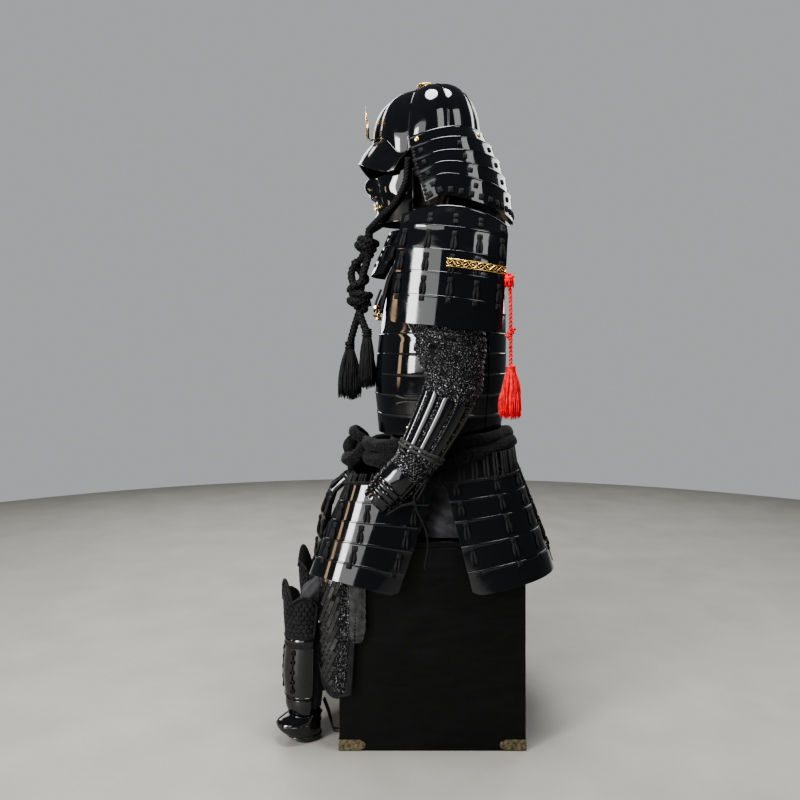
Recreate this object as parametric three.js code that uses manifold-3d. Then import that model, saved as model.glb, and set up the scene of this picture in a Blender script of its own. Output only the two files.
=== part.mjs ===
// A suit of samurai armour on its armour stand, seated on its storage chest.
// Millimetres, +Z up. The armour faces -Y and its own left side is +X.
// The origin is the centre of the chest's underside, on the floor.
import * as THREE from "three";
import { mergeVertices } from "three/addons/utils/BufferGeometryUtils.js";
import Module from "manifold-3d";

const wasm = await Module();
wasm.setup();

// Driving dimensions.
const GAP = 0.3; // between pieces that touch
const PLATE = 2.4; // lacquered plate, with its lacing
const CLOTH = 2; // sleeve and trouser cloth
const STEP = 2.6; // each laced lame stands this far outside the one above
const CHEST = { width: 370, depth: 372, height: 417, board: 12 };
const HELMET = { halfWidth: 105, front: -124, rear: 114, lobes: 8, lobeDepth: 0.045 };
const WAIST_Y = 24; // centre of the cuirass from front to back
const SODE = { x: 262, y: 32, z: 950, lean: -6, halfWidth: 106, radius: 165 };
const LEG = { x: 125, y: -258, turn: 30 };
const CORD = 14; // thick braided chin cord
const THIN_CORD = 4;

const FINISH = {
  lacquer: { color: 0x0a0a0b, roughness: 0.15, metalness: 0 },
  gold: { color: 0xc9a227, roughness: 0.35, metalness: 1 },
  cloth: { color: 0x1a1a1c, roughness: 0.9, metalness: 0 },
  crepe: { color: 0x232326, roughness: 0.85, metalness: 0 },
  mail: { color: 0x3a3a3c, roughness: 0.45, metalness: 0.8 },
  cord: { color: 0x101011, roughness: 0.8, metalness: 0 },
  redCord: { color: 0xc8201c, roughness: 0.6, metalness: 0 },
  chest: { color: 0x141416, roughness: 0.4, metalness: 0 },
  brass: { color: 0x6d5f43, roughness: 0.45, metalness: 1 },
  wood: { color: 0x6b4a2c, roughness: 0.6, metalness: 0 },
};

const armour = new THREE.Group();
const vec = (x, y, z) => new THREE.Vector3(x, y, z);
const degrees = THREE.MathUtils.degToRad;
const mix = THREE.MathUtils.lerp;

function place(name, geometry, finish, parent = armour) {
  const mesh = new THREE.Mesh(geometry, new THREE.MeshStandardMaterial(FINISH[finish]));
  mesh.name = name;
  parent.add(mesh);
  return mesh;
}

// A left piece and its mirrored right one.
function placePair(name, geometry, finish) {
  place(`${name}_left`, geometry, finish);
  const twin = mergedCopy(geometry).applyMatrix4(new THREE.Matrix4().makeScale(-1, 1, 1));
  const corners = twin.index.array;
  for (let i = 0; i < corners.length; i += 3) {
    [corners[i], corners[i + 1]] = [corners[i + 1], corners[i]];
  }
  place(`${name}_right`, twin, finish);
}

function mergedCopy(geometry) {
  const copy = geometry.clone();
  copy.deleteAttribute("normal");
  copy.deleteAttribute("uv");
  return mergeVertices(copy, 1e-3);
}

// Joins or cuts two closed geometries: how is "add" or "subtract".
function combine(first, how, second) {
  const [a, b] = [first, second].map((geometry) => {
    const mesh = mergedCopy(geometry);
    return new wasm.Manifold(new wasm.Mesh({
      numProp: 3,
      vertProperties: new Float32Array(mesh.attributes.position.array),
      triVerts: new Uint32Array(mesh.index.array),
    }));
  });
  const result = a[how](b).getMesh();
  const geometry = new THREE.BufferGeometry();
  geometry.setAttribute("position", new THREE.BufferAttribute(result.vertProperties, 3));
  geometry.setIndex(new THREE.BufferAttribute(result.triVerts, 1));
  return geometry;
}

function meshFrom(triangles) {
  const geometry = new THREE.BufferGeometry();
  geometry.setFromPoints(triangles.flat());
  return mergedCopy(geometry);
}

// Both sides of a quad, given anticlockwise as seen from outside.
const quad = (a, b, c, d) => [[a, b, c], [a, c, d]];

// A wall of even thickness behind a grid of outer points. Rows run from top to bottom, and the
// points of a row anticlockwise as seen from above. round joins each row's ends; crown and
// base close the first and the last row.
function wall(rows, thickness, { round = false, crown = false, base = false } = {}) {
  const last = rows.length - 1;
  const across = rows[0].length;
  const clamp = (n, top) => Math.min(Math.max(n, 0), top);
  const wrap = (j) => (round ? (j + across) % across : clamp(j, across - 1));
  const inner = rows.map((row, i) => row.map((point, j) => {
    const down = rows[clamp(i + 1, last)][j].clone().sub(rows[clamp(i - 1, last)][j]);
    const along = row[wrap(j + 1)].clone().sub(row[wrap(j - 1)]);
    return point.clone().addScaledVector(down.cross(along).normalize(), -thickness);
  }));
  const faces = [];
  const columns = round ? across : across - 1;
  for (let i = 0; i < last; i++) {
    for (let j = 0; j < columns; j++) {
      const k = wrap(j + 1);
      faces.push(...quad(rows[i][j], rows[i + 1][j], rows[i + 1][k], rows[i][k]));
      faces.push(...quad(inner[i][j], inner[i][k], inner[i + 1][k], inner[i + 1][j]));
    }
    if (!round) {
      const k = across - 1;
      faces.push(...quad(rows[i][0], inner[i][0], inner[i + 1][0], rows[i + 1][0]));
      faces.push(...quad(rows[i][k], rows[i + 1][k], inner[i + 1][k], inner[i][k]));
    }
  }
  closeEnd(faces, rows[0], inner[0], columns, wrap, crown ? thickness : 0, false);
  closeEnd(faces, rows[last], inner[last], columns, wrap, base ? thickness : 0, true);
  return meshFrom(faces);
}

// Joins the outer and inner edge of an end row, or roofs both over when it has a depth.
function closeEnd(faces, outer, inner, columns, wrap, depth, below) {
  const centre = outer.reduce((sum, p) => sum.add(p), vec(0, 0, 0)).divideScalar(outer.length);
  const hub = centre.clone().add(vec(0, 0, below ? depth : -depth));
  for (let j = 0; j < columns; j++) {
    const k = wrap(j + 1);
    const ends = [];
    if (depth) {
      ends.push([outer[j], outer[k], centre], [inner[k], inner[j], hub]);
    } else {
      ends.push(...quad(outer[j], outer[k], inner[k], inner[j]));
    }
    faces.push(...(below ? ends.map(([a, b, c]) => [a, c, b]) : ends));
  }
}

// A full solid through rings, top to bottom, each anticlockwise as seen from above.
function solid(rings) {
  const faces = [];
  const across = rings[0].length;
  for (let j = 0; j < across; j++) {
    const k = (j + 1) % across;
    for (let i = 0; i + 1 < rings.length; i++) {
      faces.push(...quad(rings[i][j], rings[i + 1][j], rings[i + 1][k], rings[i][k]));
    }
  }
  for (const [ring, below] of [[rings[0], false], [rings.at(-1), true]]) {
    const centre = ring.reduce((sum, p) => sum.add(p), vec(0, 0, 0)).divideScalar(across);
    for (let j = 0; j < across; j++) {
      const k = (j + 1) % across;
      faces.push(below ? [ring[k], ring[j], centre] : [ring[j], ring[k], centre]);
    }
  }
  return meshFrom(faces);
}

// An oval ring of points, anticlockwise from above. tilt turns it about X, to stay square to a
// limb that leans forward by that angle on its way down.
function oval(centre, halfWidth, halfDepth, { count = 14, tilt = 0, power = 2 } = {}) {
  return Array.from({ length: count }, (_, j) => {
    const angle = (j / count) * 2 * Math.PI;
    const point = vec(
      halfWidth * Math.sign(Math.cos(angle)) * Math.abs(Math.cos(angle)) ** (2 / power),
      halfDepth * Math.sign(Math.sin(angle)) * Math.abs(Math.sin(angle)) ** (2 / power),
      0,
    );
    return point.applyAxisAngle(vec(1, 0, 0), degrees(-tilt)).add(centre);
  });
}

// count + 1 points on the parabola through three points.
function bow(start, middle, end, count = 8) {
  const control = middle.clone().multiplyScalar(2).sub(start.clone().add(end).multiplyScalar(0.5));
  return new THREE.QuadraticBezierCurve3(start, control, end).getPoints(count);
}

const smooth = (points, count) => new THREE.CatmullRomCurve3(points).getPoints(count);

// Rows of a hanging laced panel: each lame's top row, then its bottom row, and the next lame
// stands out by one step. levels holds the rows where one lame gives way to the next.
function lamedRows(levels, outwards) {
  const rows = [];
  for (let lame = 0; lame + 1 < levels.length; lame++) {
    for (const [level, share] of [[lame, 0.04], [lame + 1, -0.04]]) {
      const next = levels[lame + (level === lame ? 1 : 0)];
      rows.push(levels[level].map((point, j) => point.clone()
        .lerp(level === lame ? next[j] : levels[lame][j], Math.abs(share))
        .addScaledVector(outwards(point, j), (lame + 1.5 - levels.length / 2) * STEP)));
    }
  }
  return rows;
}

const outFrom = (x, y) => (point) => vec(point.x - x, point.y - y, 0).normalize();

function cordAlong(points, diameter, steps) {
  const sides = diameter < THIN_CORD + 1 ? 8 : 10;
  const section = new THREE.Shape(Array.from({ length: sides }, (_, i) => new THREE.Vector2(
    (diameter / 2) * Math.cos((i / sides) * 2 * Math.PI),
    (diameter / 2) * Math.sin((i / sides) * 2 * Math.PI),
  )));
  return new THREE.ExtrudeGeometry(section, {
    steps, bevelEnabled: false, extrudePath: new THREE.CatmullRomCurve3(points),
  });
}

function boxAt(width, depth, height, x, y, z) {
  return new THREE.BoxGeometry(width, depth, height).translate(x, y, z);
}

// Storage chest: open-topped body of boards, a lid with a locating board under it, and a
// brass plate on each bottom corner.
function buildChest() {
  const { width, depth, height, board } = CHEST;
  const bodyHeight = height - board - GAP;
  const outside = boxAt(width, depth, bodyHeight, 0, 0, bodyHeight / 2);
  const inside = boxAt(width - 2 * board, depth - 2 * board, bodyHeight, 0, 0, bodyHeight / 2 + board);
  place("chest_body", combine(outside, "subtract", inside), "chest");
  const lid = boxAt(width, depth, board, 0, 0, height - board / 2);
  const locator = boxAt(width - 2 * board - 2, depth - 2 * board - 2, 10, 0, 0, height - board - 4.5);
  place("chest_lid", combine(lid, "add", locator), "chest");
  const [leg, tall, thick] = [54, 22, 1.2];
  const ends = { front: -1, rear: 1 };
  for (const [end, sy] of Object.entries(ends)) {
    for (const [side, sx] of [["left", 1], ["right", -1]]) {
      const corner = vec(sx * (width / 2 + GAP), sy * (depth / 2 + GAP), 0);
      const along = boxAt(leg, thick, tall, sx * (thick - leg / 2), sy * thick / 2, 0);
      const back = boxAt(thick, leg, tall, sx * thick / 2, sy * (thick - leg / 2), 0);
      const plate = place(`chest_corner_${end}_${side}`, combine(along, "add", back), "brass");
      plate.position.copy(corner).add(vec(0, 0, tall / 2 + 1));
    }
  }
}

// Armour stand: cross foot, post, a shoulder bar that runs out over the sleeves, and a head
// block under the helmet.
function buildStand() {
  const foot = CHEST.height + GAP;
  let stand = boxAt(150, 60, 16, 0, WAIST_Y, foot + 8);
  for (const piece of [
    boxAt(60, 150, 16, 0, WAIST_Y, foot + 8),
    boxAt(36, 36, 720, 0, WAIST_Y, foot + 365),
    boxAt(452, 30, 24, 0, WAIST_Y, 1003),
    solid([[1292, 30], [1270, 52], [1180, 52], [1120, 34]].map(([z, r]) => (
      oval(vec(0, 0, z), r, r * 1.15, { count: 16 })))),
  ]) {
    stand = combine(stand, "add", piece);
  }
  place("armour_stand", stand, "wood");
}

// Helmet bowl of eight lobes. share runs from the crown (0) to the rim (1). The rim dips at the
// temples, and is highest at the brow and behind the neck guard's band.
const rimHeight = (angle) => {
  const turn = Math.abs(Math.atan2(Math.sin(angle), Math.cos(angle)));
  const temple = Math.exp(-(((turn - 1.06) / 0.3) ** 2));
  return mix(1264, 1262, turn / Math.PI) - 44 * temple;
};

function bowlPoint(share, angle) {
  const rise = Math.cos(share * Math.PI / 2) ** (2 / 2.5);
  const full = mix(2.8, 2.1, ((1 + Math.cos(angle)) / 2) ** 2);
  const spread = Math.sin(share * Math.PI / 2) ** (2 / full);
  const lobe = 1 - HELMET.lobeDepth * (1 - Math.abs(Math.cos(angle * HELMET.lobes / 2)));
  const centre = (HELMET.front + HELMET.rear) / 2;
  const depth = (HELMET.rear - HELMET.front) / 2;
  const crown = mix(1398, 1378, (1 + Math.cos(angle)) / 2) - 14 * (1 - spread) ** 2;
  const rim = rimHeight(angle);
  return vec(
    HELMET.halfWidth * spread * lobe * Math.sin(angle),
    centre - depth * spread * lobe * Math.cos(angle),
    rim + (crown - rim) * rise,
  );
}

function buildHelmet() {
  const shares = [0.1, 0.32, 0.52, 0.7, 0.85, 1];
  const around = 24;
  const rows = shares.map((share) => Array.from({ length: around }, (_, j) => (
    bowlPoint(share, (j / around) * 2 * Math.PI))));
  place("helmet_bowl", wall(rows, 3, { round: true, crown: true }), "lacquer");

  // The visor's top edge follows the bowl's rim, just under it.
  const top = [-69, -60, -45, -30, -15, 0, 15, 30, 45, 60, 69].map((turn) => (
    bowlPoint(1, degrees(turn)).add(vec(0, 0, -3))));
  const tip = smooth([vec(-90, -78, 1182), vec(-82, -98, 1182), vec(-52, -134, 1197),
    vec(0, -156, 1217), vec(52, -134, 1197), vec(82, -98, 1182), vec(90, -78, 1182)], 10);
  place("visor", wall([top, tip], PLATE), "lacquer");

  const knob = [[1396, 7], [1394, 19], [1389, 21]].map(([z, r]) => (
    oval(vec(0, -6, z), r, r, { count: 12 })));
  place("crown_ornament", solid(knob), "gold");

  // The crest stands on a prong in front of the brow: a disc between two horns.
  const horns = new THREE.Shape();
  horns.absarc(0, 0, 46, degrees(20), degrees(160), true);
  horns.lineTo(-24, 22);
  horns.absarc(0, 6, 26, degrees(150), degrees(30), false);
  horns.closePath();
  const crest = new THREE.ExtrudeGeometry(horns, { depth: 2, bevelEnabled: false, curveSegments: 12 });
  crest.rotateX(degrees(90)).translate(0, -138, 1316);
  place("crest", crest, "gold");
}

// Neck guard: a riveted band and four lames round the back, open at the face.
const NECK_LEVELS = [
  // front edge, side, rear corner (x and y) and rear (y and z) of each level
  { edge: [105, -44, 1250], side: [107.5, 22, 1268], corner: [88, 74], rear: [118, 1281] },
  { edge: [109, -42, 1222], side: [114, 24, 1241], corner: [95, 88], rear: [136, 1248] },
  { edge: [120, -38, 1193], side: [124, 27, 1212], corner: [102, 102], rear: [153, 1215] },
  { edge: [130, -31, 1164], side: [133, 29, 1187], corner: [108, 113], rear: [166, 1177] },
  { edge: [140, -22, 1139], side: [142, 31, 1160], corner: [114, 123], rear: [178, 1137] },
  { edge: [150, -13, 1104], side: [152, 33, 1117], corner: [120, 132], rear: [187, 1083] },
];

function neckRow({ edge, side, corner, rear }, out = 0, lift = 0) {
  const [rearY, rearZ] = rear;
  const half = [edge, side, [...corner, mix(side[2], rearZ, 0.6)]].map(([x, y, z]) => vec(x, y, z));
  const twin = half.map((p) => vec(-p.x, p.y, p.z)).reverse();
  return smooth([...half, vec(0, rearY, rearZ), ...twin], 18).map((p) => {
    const away = vec(p.x, p.y - 25, 0).normalize();
    return p.addScaledVector(away, out).add(vec(0, 0, lift));
  });
}

function buildNeckGuard() {
  const bandRows = [neckRow(NECK_LEVELS[0], 1), neckRow(NECK_LEVELS[1], 0, -1)];
  place("neck_guard_band", wall(bandRows, PLATE), "lacquer");
  for (let lame = 1; lame <= 4; lame++) {
    const rows = [neckRow(NECK_LEVELS[lame], 3.4, 4), neckRow(NECK_LEVELS[lame + 1], 0, -1)];
    place(`neck_guard_${lame}`, wall(rows, PLATE), "lacquer");
  }
}

// Mask of the lower face: a calm, general form with a nose ridge, lips and chin.
function maskPoint(across, down) {
  const angle = across * degrees(88);
  const jaw = 1 - 0.32 * down ** 2;
  const front = 88 * (1 - 0.1 * down) * Math.cos(angle) ** 0.85;
  const ridge = Math.exp(-((across / 0.13) ** 2));
  const nose = 26 * ridge * Math.max(0, Math.sin(Math.PI * Math.min(down / 0.52, 1))) ** 0.8;
  const lips = 7 * Math.exp(-((across / 0.26) ** 2)) * Math.exp(-(((down - 0.64) / 0.09) ** 2));
  const chin = 9 * Math.exp(-((across / 0.22) ** 2)) * Math.exp(-(((down - 0.9) / 0.1) ** 2));
  const top = 1178 + 16 * ridge + 12 * across ** 2;
  return vec(77 * jaw * Math.sin(angle), -32 - front - nose - lips - chin, mix(top, 1082, down));
}

function buildMask() {
  const rows = Array.from({ length: 9 }, (_, i) => Array.from({ length: 15 }, (_, j) => (
    maskPoint(j / 7 - 1, i / 8))));
  place("mask", wall(rows, 3), "lacquer");

  const bib = [[1064, 54, 62], [1030, 66, 58], [998, 78, 52], [967, 92, 46]].map(([z, r, spread]) => (
    Array.from({ length: 11 }, (_, j) => {
      const angle = degrees(spread) * (j / 5 - 1);
      return vec(r * Math.sin(angle), -34 - r * Math.cos(angle), z);
    })));
  place("throat_guard", wall(lamedRows(bib, outFrom(0, -34)), PLATE), "lacquer");
}

// Cuirass: rounded-square sections, front and sides in one shell and the back in another.
function cuirassPoint(z, angle, half, front, rear) {
  const [s, c] = [Math.sin(angle), Math.cos(angle)];
  const reach = c > 0 ? WAIST_Y - front : rear - WAIST_Y;
  return vec(
    half * Math.sign(s) * Math.abs(s) ** (2 / 2.4),
    WAIST_Y - reach * Math.sign(c) * Math.abs(c) ** (2 / 2.4),
    z,
  );
}

// z, half width, front, rear, and how far the front and the back shell reach round, in degrees
const CUIRASS = [
  [625, 150, -112, 156, 126, 53],
  [668, 151, -115, 161, 126, 53],
  [710, 154, -119, 166, 126, 53],
  [752, 157, -119, 168, 126, 53],
  [795, 159, -115, 168, 126, 53],
  [822, 159, -112, 168, 124, 53],
  [837, 159, -110, 168, 66, 52],
  [880, 156, -103, 167, 52, 50],
  [922, 150, -97, 165, 46, 48],
  [947, 146, -92, 163, 44, 46],
];

function buildCuirass() {
  const shell = (levels, reachAt, centre) => levels.map((level) => (
    Array.from({ length: 15 }, (_, j) => {
      const [z, half, front, rear] = level;
      return cuirassPoint(z, centre + degrees(level[reachAt]) * (j / 7 - 1), half, front, rear);
    }))).reverse();
  place("cuirass_front", wall(shell(CUIRASS, 4, 0), PLATE), "lacquer");
  const back = [...CUIRASS, [1000, 136, -92, 156, 0, 40]];
  place("cuirass_back", wall(shell(back, 5, Math.PI), PLATE), "lacquer");

  // Each strap runs from the back over the shoulder to its toggle on the front.
  const route = smooth([vec(80, 148, 1004), vec(90, 100, 1050), vec(96, 30, 1062),
    vec(92, -40, 1024), vec(82, -78, 970), vec(77, -91, 938), vec(75, -103, 888)], 12);
  const rows = route.map((p) => [-1, 0, 1].map((side) => (
    p.clone().add(vec(side * 23, 0, side === 0 ? 3 : 0))))).reverse();
  placePair("shoulder_strap", wall(rows, 6), "cloth");
}

// Shoulder guard, in its own frame: the plate's face looks along +X and bows round Z.
function sodePoint(across, level, out = 0) {
  const y = across * SODE.halfWidth * (1 + 0.01 * level);
  const bowed = Math.sqrt(SODE.radius ** 2 - y ** 2) - SODE.radius;
  const heights = [131, 89, 42, -2, -48, -106];
  const leans = [-34, -14, -5, 0, 2, 3];
  const arch = level === 0 ? -22 * across ** 2 : 0;
  const corner = level === 5 ? 10 * Math.max(0, Math.abs(across) - 0.8) / 0.2 : 0;
  return vec(leans[level] + bowed + out, y, heights[level] + arch + corner);
}

function buildShoulderGuards() {
  const toPlace = new THREE.Matrix4().makeRotationX(degrees(SODE.lean))
    .setPosition(SODE.x, SODE.y, SODE.z);
  const row = (level, out) => Array.from({ length: 9 }, (_, j) => sodePoint(j / 4 - 1, level, out));
  const crown = wall([row(0, 0), row(1, 0)], PLATE);
  placePair("shoulder_guard_crown", crown.applyMatrix4(toPlace), "lacquer");
  const levels = [1, 2, 3, 4, 5].map((level) => row(level, 3));
  const lames = wall(lamedRows(levels, () => vec(1, 0, 0)), PLATE);
  placePair("shoulder_guard_lames", lames.translate(0, 0, -2).applyMatrix4(toPlace), "lacquer");

  // Gold bar along the rear half of the second lame.
  const barRow = (z) => Array.from({ length: 7 }, (_, j) => {
    const point = sodePoint(mix(-0.1, 0.99, j / 6), 2, 14.5);
    return vec(point.x, point.y, z);
  });
  const bar = wall([barRow(21), barRow(7)], 3.5);
  placePair("gold_bar", bar.applyMatrix4(toPlace), "gold");

  // Red cord from the bar's rear end, with its tassel.
  const knot = vec(233, 146, 940);
  const cord = cordAlong([knot, vec(233, 148.5, 900), vec(233, 149, 840), vec(233, 149, 768)], 8, 8);
  placePair("red_cord", cord, "redCord");
  const tassel = [[767, 6], [756, 12], [720, 16], [660, 22]].map(([z, r]) => (
    oval(vec(233, 148, z), r, r, { count: 10 })));
  placePair("red_tassel", solid(tassel), "redCord");
}

// Sleeves: upper sleeve, forearm of splints on cloth, and a hand guard.
function buildSleeves() {
  const upper = [
    [vec(200, 25, 990), 34, 52, 0], [vec(208, 28, 920), 40, 66, 0], [vec(211, 30, 840), 42, 70, 0],
    [vec(212, 35, 786), 42, 67, 6], [vec(214, 38, 738), 41, 58, 18],
  ].map(([centre, w, d, tilt]) => oval(centre, w, d, { tilt }));
  placePair("sleeve", wall(upper, CLOTH, { round: true }), "mail");
  const lower = [
    [vec(216, 35, 722), 40, 51, 22], [vec(219, 13, 672), 37, 48, 27], [vec(223, -16, 616), 32, 42, 27],
    [vec(224, -31, 588), 30, 40, 27],
  ].map(([centre, w, d, tilt]) => oval(centre, w, d, { tilt }));
  placePair("forearm", wall(lower, CLOTH, { round: true }), "lacquer");

  // The hand guard covers the back of the hand and runs down to the knuckles.
  const along = [[vec(224, -44, 570), 30, 36], [vec(225, -66, 549), 30, 37], [vec(226, -92, 524), 27, 35],
    [vec(226, -114, 502), 21, 28]];
  const rows = along.map(([centre, w, d]) => Array.from({ length: 11 }, (_, j) => {
    const angle = degrees(-105 + 21 * j);
    return vec(w * Math.cos(angle), d * Math.sin(angle), 0)
      .applyAxisAngle(vec(1, 0, 0), degrees(-45)).add(centre);
  }));
  placePair("hand_guard", wall(rows, PLATE), "lacquer");
}

// Sash: a padded roll in two turns round the waist, tied in a bow in front.
function buildSash() {
  const around = 28;
  const section = [[0, 29], [10, 25], [13, 14], [10, 1], [13, -13], [10, -25], [0, -29],
    [-10, -25], [-13, -13], [-10, 1], [-13, 14], [-10, 25]];
  const rings = Array.from({ length: around }, (_, j) => {
    const angle = (j / around) * 2 * Math.PI;
    const middle = cuirassPoint(0, angle, 169, -134, 171);
    const rear = (1 - Math.cos(angle)) / 2;
    const away = vec(middle.x, middle.y - WAIST_Y, 0).normalize();
    return section.map(([out, up]) => middle.clone().addScaledVector(away, out)
      .add(vec(0, 0, mix(582, 606, rear ** 1.5) + up)));
  });
  const faces = [];
  rings.forEach((ring, j) => {
    const next = rings[(j + 1) % around];
    ring.forEach((point, i) => {
      const k = (i + 1) % section.length;
      faces.push(...quad(point, ring[k], next[k], next[i]));
    });
  });
  const lump = [[608, 24, 12], [598, 52, 15], [570, 66, 16], [545, 58, 16], [534, 30, 12]]
    .map(([z, w, d]) => oval(vec(0, -158, z), w, d, { count: 12 }));
  place("sash", combine(meshFrom(faces), "add", solid(lump)), "crepe");
}

// Tassets: each a hanging panel between a top and a bottom edge, four or five laced lames.
const TASSETS = {
  front: {
    edges: [
      [[-76, -174, 526], [0, -190, 529], [76, -174, 526]],
      [[-78, -206, 498], [0, -222, 500], [78, -206, 498]],
      [[-79, -222, 448], [0, -238, 450], [79, -222, 448]],
      [[-80, -228, 400], [0, -244, 402], [80, -228, 400]],
      [[-81, -231, 352], [0, -247, 352], [81, -231, 352]],
      [[-81, -232, 300], [0, -248, 296], [81, -232, 300]],
    ],
  },
  front_left: { top: [[100, -172, 526], [178, -148, 536], [190, 8, 540]],
    bottom: [[112, -249, 334], [210, -200, 350], [215, -68, 316]], lames: 5 },
  back_left: { top: [[182, 20, 556], [160, 150, 568], [72, 180, 574]],
    bottom: [[208, 78, 315], [198, 203, 346], [80, 254, 346]], lames: 5 },
  back: { top: [[60, 184, 574], [0, 188, 576], [-60, 184, 574]],
    bottom: [[66, 258, 348], [0, 264, 346], [-66, 258, 348]], lames: 5 },
};

function tassetRows({ edges, top, bottom, lames }) {
  const arc = (three) => bow(...three.map((p) => vec(...p)), 8);
  if (edges) {
    return edges.map(arc);
  }
  const [first, last] = [arc(top), arc(bottom)];
  return Array.from({ length: lames + 1 }, (_, i) => (
    first.map((point, j) => point.clone().lerp(last[j], i / lames))));
}

function buildTassets() {
  for (const [name, panel] of Object.entries(TASSETS)) {
    const geometry = wall(lamedRows(tassetRows(panel), outFrom(0, WAIST_Y)), PLATE);
    if (name.endsWith("_left")) {
      placePair(`tasset_${name.replace("_left", "")}`, geometry, "lacquer");
    } else {
      place(`tasset_${name}`, geometry, "lacquer");
    }
  }
}

// Thigh guards: cloth faced with small plates, from the lap down past the knee's outer side.
function buildThighGuards() {
  const levels = [
    [[96, -156, 508], [122, -162, 510], [146, -153, 510], [162, -128, 510], [170, -90, 510]],
    [[112, -209, 424], [140, -209, 424], [170, -203, 424], [193, -179, 424], [197, -124, 424]],
    [[155, -226, 340], [170, -223, 338], [184, -214, 336], [196, -192, 334], [200, -150, 332]],
    [[158, -228, 250], [173, -226, 248], [187, -217, 246], [198, -196, 245], [202, -154, 245]],
    [[160, -226, 176], [175, -223, 152], [188, -214, 128], [198, -194, 113], [202, -162, 120]],
  ];
  const rows = levels.map((level) => smooth(level.map((p) => vec(...p)), 8));
  placePair("thigh_guard", wall(rows, CLOTH), "mail");
}

// Trousers: a seat spread on the lid, and two legs over its front edge into the shin guards.
function buildTrousers() {
  const seat = [[612, 128, -88, 136], [560, 140, -96, 146], [500, 152, -104, 152],
    [450, 164, -110, 156], [419, 166, -108, 158]].map(([z, half, front, rear]) => (
    Array.from({ length: 22 }, (_, j) => (
      cuirassPoint(z, (j / 22) * 2 * Math.PI, half, front, rear)))));
  place("trousers_seat", wall(seat, CLOTH, { round: true }), "cloth");
  const leg = [
    [vec(94, -122, 458), 50, 36, 80], [vec(103, -160, 447), 48, 24, 55], [vec(107, -189, 430), 45, 11, 40],
    [vec(109, -197, 420), 44, 9, 25], [vec(110, -199.5, 400), 42, 10.5, 0],
    [vec(116, -206, 350), 32, 16, 12], [vec(121, -236, 305), 29, 24, 22],
    [vec(125, -256, 250), 34, 33, 8],
    [vec(125, -258, 160), 33, 34, 0], [vec(125, -258, 66), 28, 30, 0],
  ].map(([centre, w, d, tilt]) => oval(centre, w, d, { tilt, count: 12 }));
  placePair("trouser_leg", wall(leg, CLOTH, { round: true }), "cloth");
}

// The knee guard's upper edge: one tall lobe in front and a lower one at each side.
function kneeTop(side) {
  const away = Math.abs(side);
  const middle = 46 * Math.max(0, Math.cos(Math.min(1, away / 0.32) * Math.PI / 2)) ** 0.8;
  const outer = 16 * Math.max(0, Math.sin(Math.PI * Math.max(0, away - 0.32) / 0.68)) ** 0.8;
  return 285 + middle + outer;
}

// Shin guards with their knee guards, and lacquered shoes.
function buildLegs() {
  const turned = (geometry) => geometry.rotateZ(degrees(LEG.turn)).translate(LEG.x, LEG.y, 0);
  const shin = [[290, 47, 92], [256, 45, 90], [214, 40, 86], [196, 41, 84], [140, 44, 82],
    [92, 42, 80], [58, 37, 76]].map(([z, r, reach], i) => (
    Array.from({ length: 13 }, (_, j) => {
      const side = j / 6 - 1;
      const angle = degrees(reach) * side;
      const flare = i < 2 ? 1 : 1 + 0.06 * (1 - Math.abs(side));
      return vec(r * Math.sin(angle), -r * flare * Math.cos(angle), i === 0 ? kneeTop(side) : z);
    })));
  placePair("shin_guard", turned(wall(shin, 3)), "lacquer");

  const shoe = [[54, 31, 34, -4], [40, 34, 46, -18], [26, 34, 44, -16], [10, 31, 34, -6], [0, 28, 28, 0]]
    .map(([z, w, d, ahead]) => oval(vec(0, ahead, z), w, d, { count: 16, power: 2.3 }));
  placePair("shoe", turned(wall(shoe, 2.6, { round: true, base: true })), "lacquer");
}

// Thick chin cord from the helmet to a big knot, and two tasselled tails.
function buildChinCord() {
  const run = [vec(98, -48, 1206), vec(97, -50, 1186), vec(93, -54, 1154), vec(77, -76, 1116),
    vec(53, -103, 1094), vec(32, -122, 1078), vec(15, -136, 1067)];
  placePair("chin_cord", cordAlong(run, CORD, 10), "cord");
  const knot = [[1058, 20, 14, -140], [1040, 26, 22, -140], [1012, 24, 20, -140], [1000, 18, 15, -148],
    [975, 26, 26, -162], [940, 24, 26, -162], [915, 26, 28, -160], [892, 18, 20, -156]]
    .map(([z, w, d, y]) => oval(vec(0, y, z), w, d, { count: 12 }));
  place("chin_knot", solid(knot), "cord");
  const tail = (x, y, end, reach) => solid([
    [891, 0.5, 7], [end + 20, 0.9, 7], [end, 1, 8], [end - 30, 1, 0.75 * reach], [end - 128, 1, reach],
  ].map(([z, share, r]) => oval(vec(x * share, mix(-156, y, share), z), r, r, { count: 10 })));
  place("chin_tassel_front", tail(-14, -178, 815, 24), "cord");
  place("chin_tassel_rear", tail(22, -138, 841, 16), "cord");
}

function buildWristCord() {
  const route = [vec(259, -38, 514), vec(259, -33, 494), vec(258, -22, 470), vec(256, -14, 448),
    vec(254, -12, 420), vec(252, -16, 396), vec(251, -18, 380)];
  place("wrist_cord_left", cordAlong(route, THIN_CORD, 14), "cord");
}

buildChest();
buildStand();
buildHelmet();
buildNeckGuard();
buildMask();
buildCuirass();
buildShoulderGuards();
buildSleeves();
buildSash();
buildTassets();
buildThighGuards();
buildTrousers();
buildLegs();
buildChinCord();
buildWristCord();

export default armour;
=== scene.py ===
# A suit of samurai armour on its stand, seated on its storage chest.
# Metres, +Z up. The armour faces -Y and its own left side is +X.
import math
import random

import bpy
import numpy as np
from mathutils import Matrix, Vector


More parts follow.
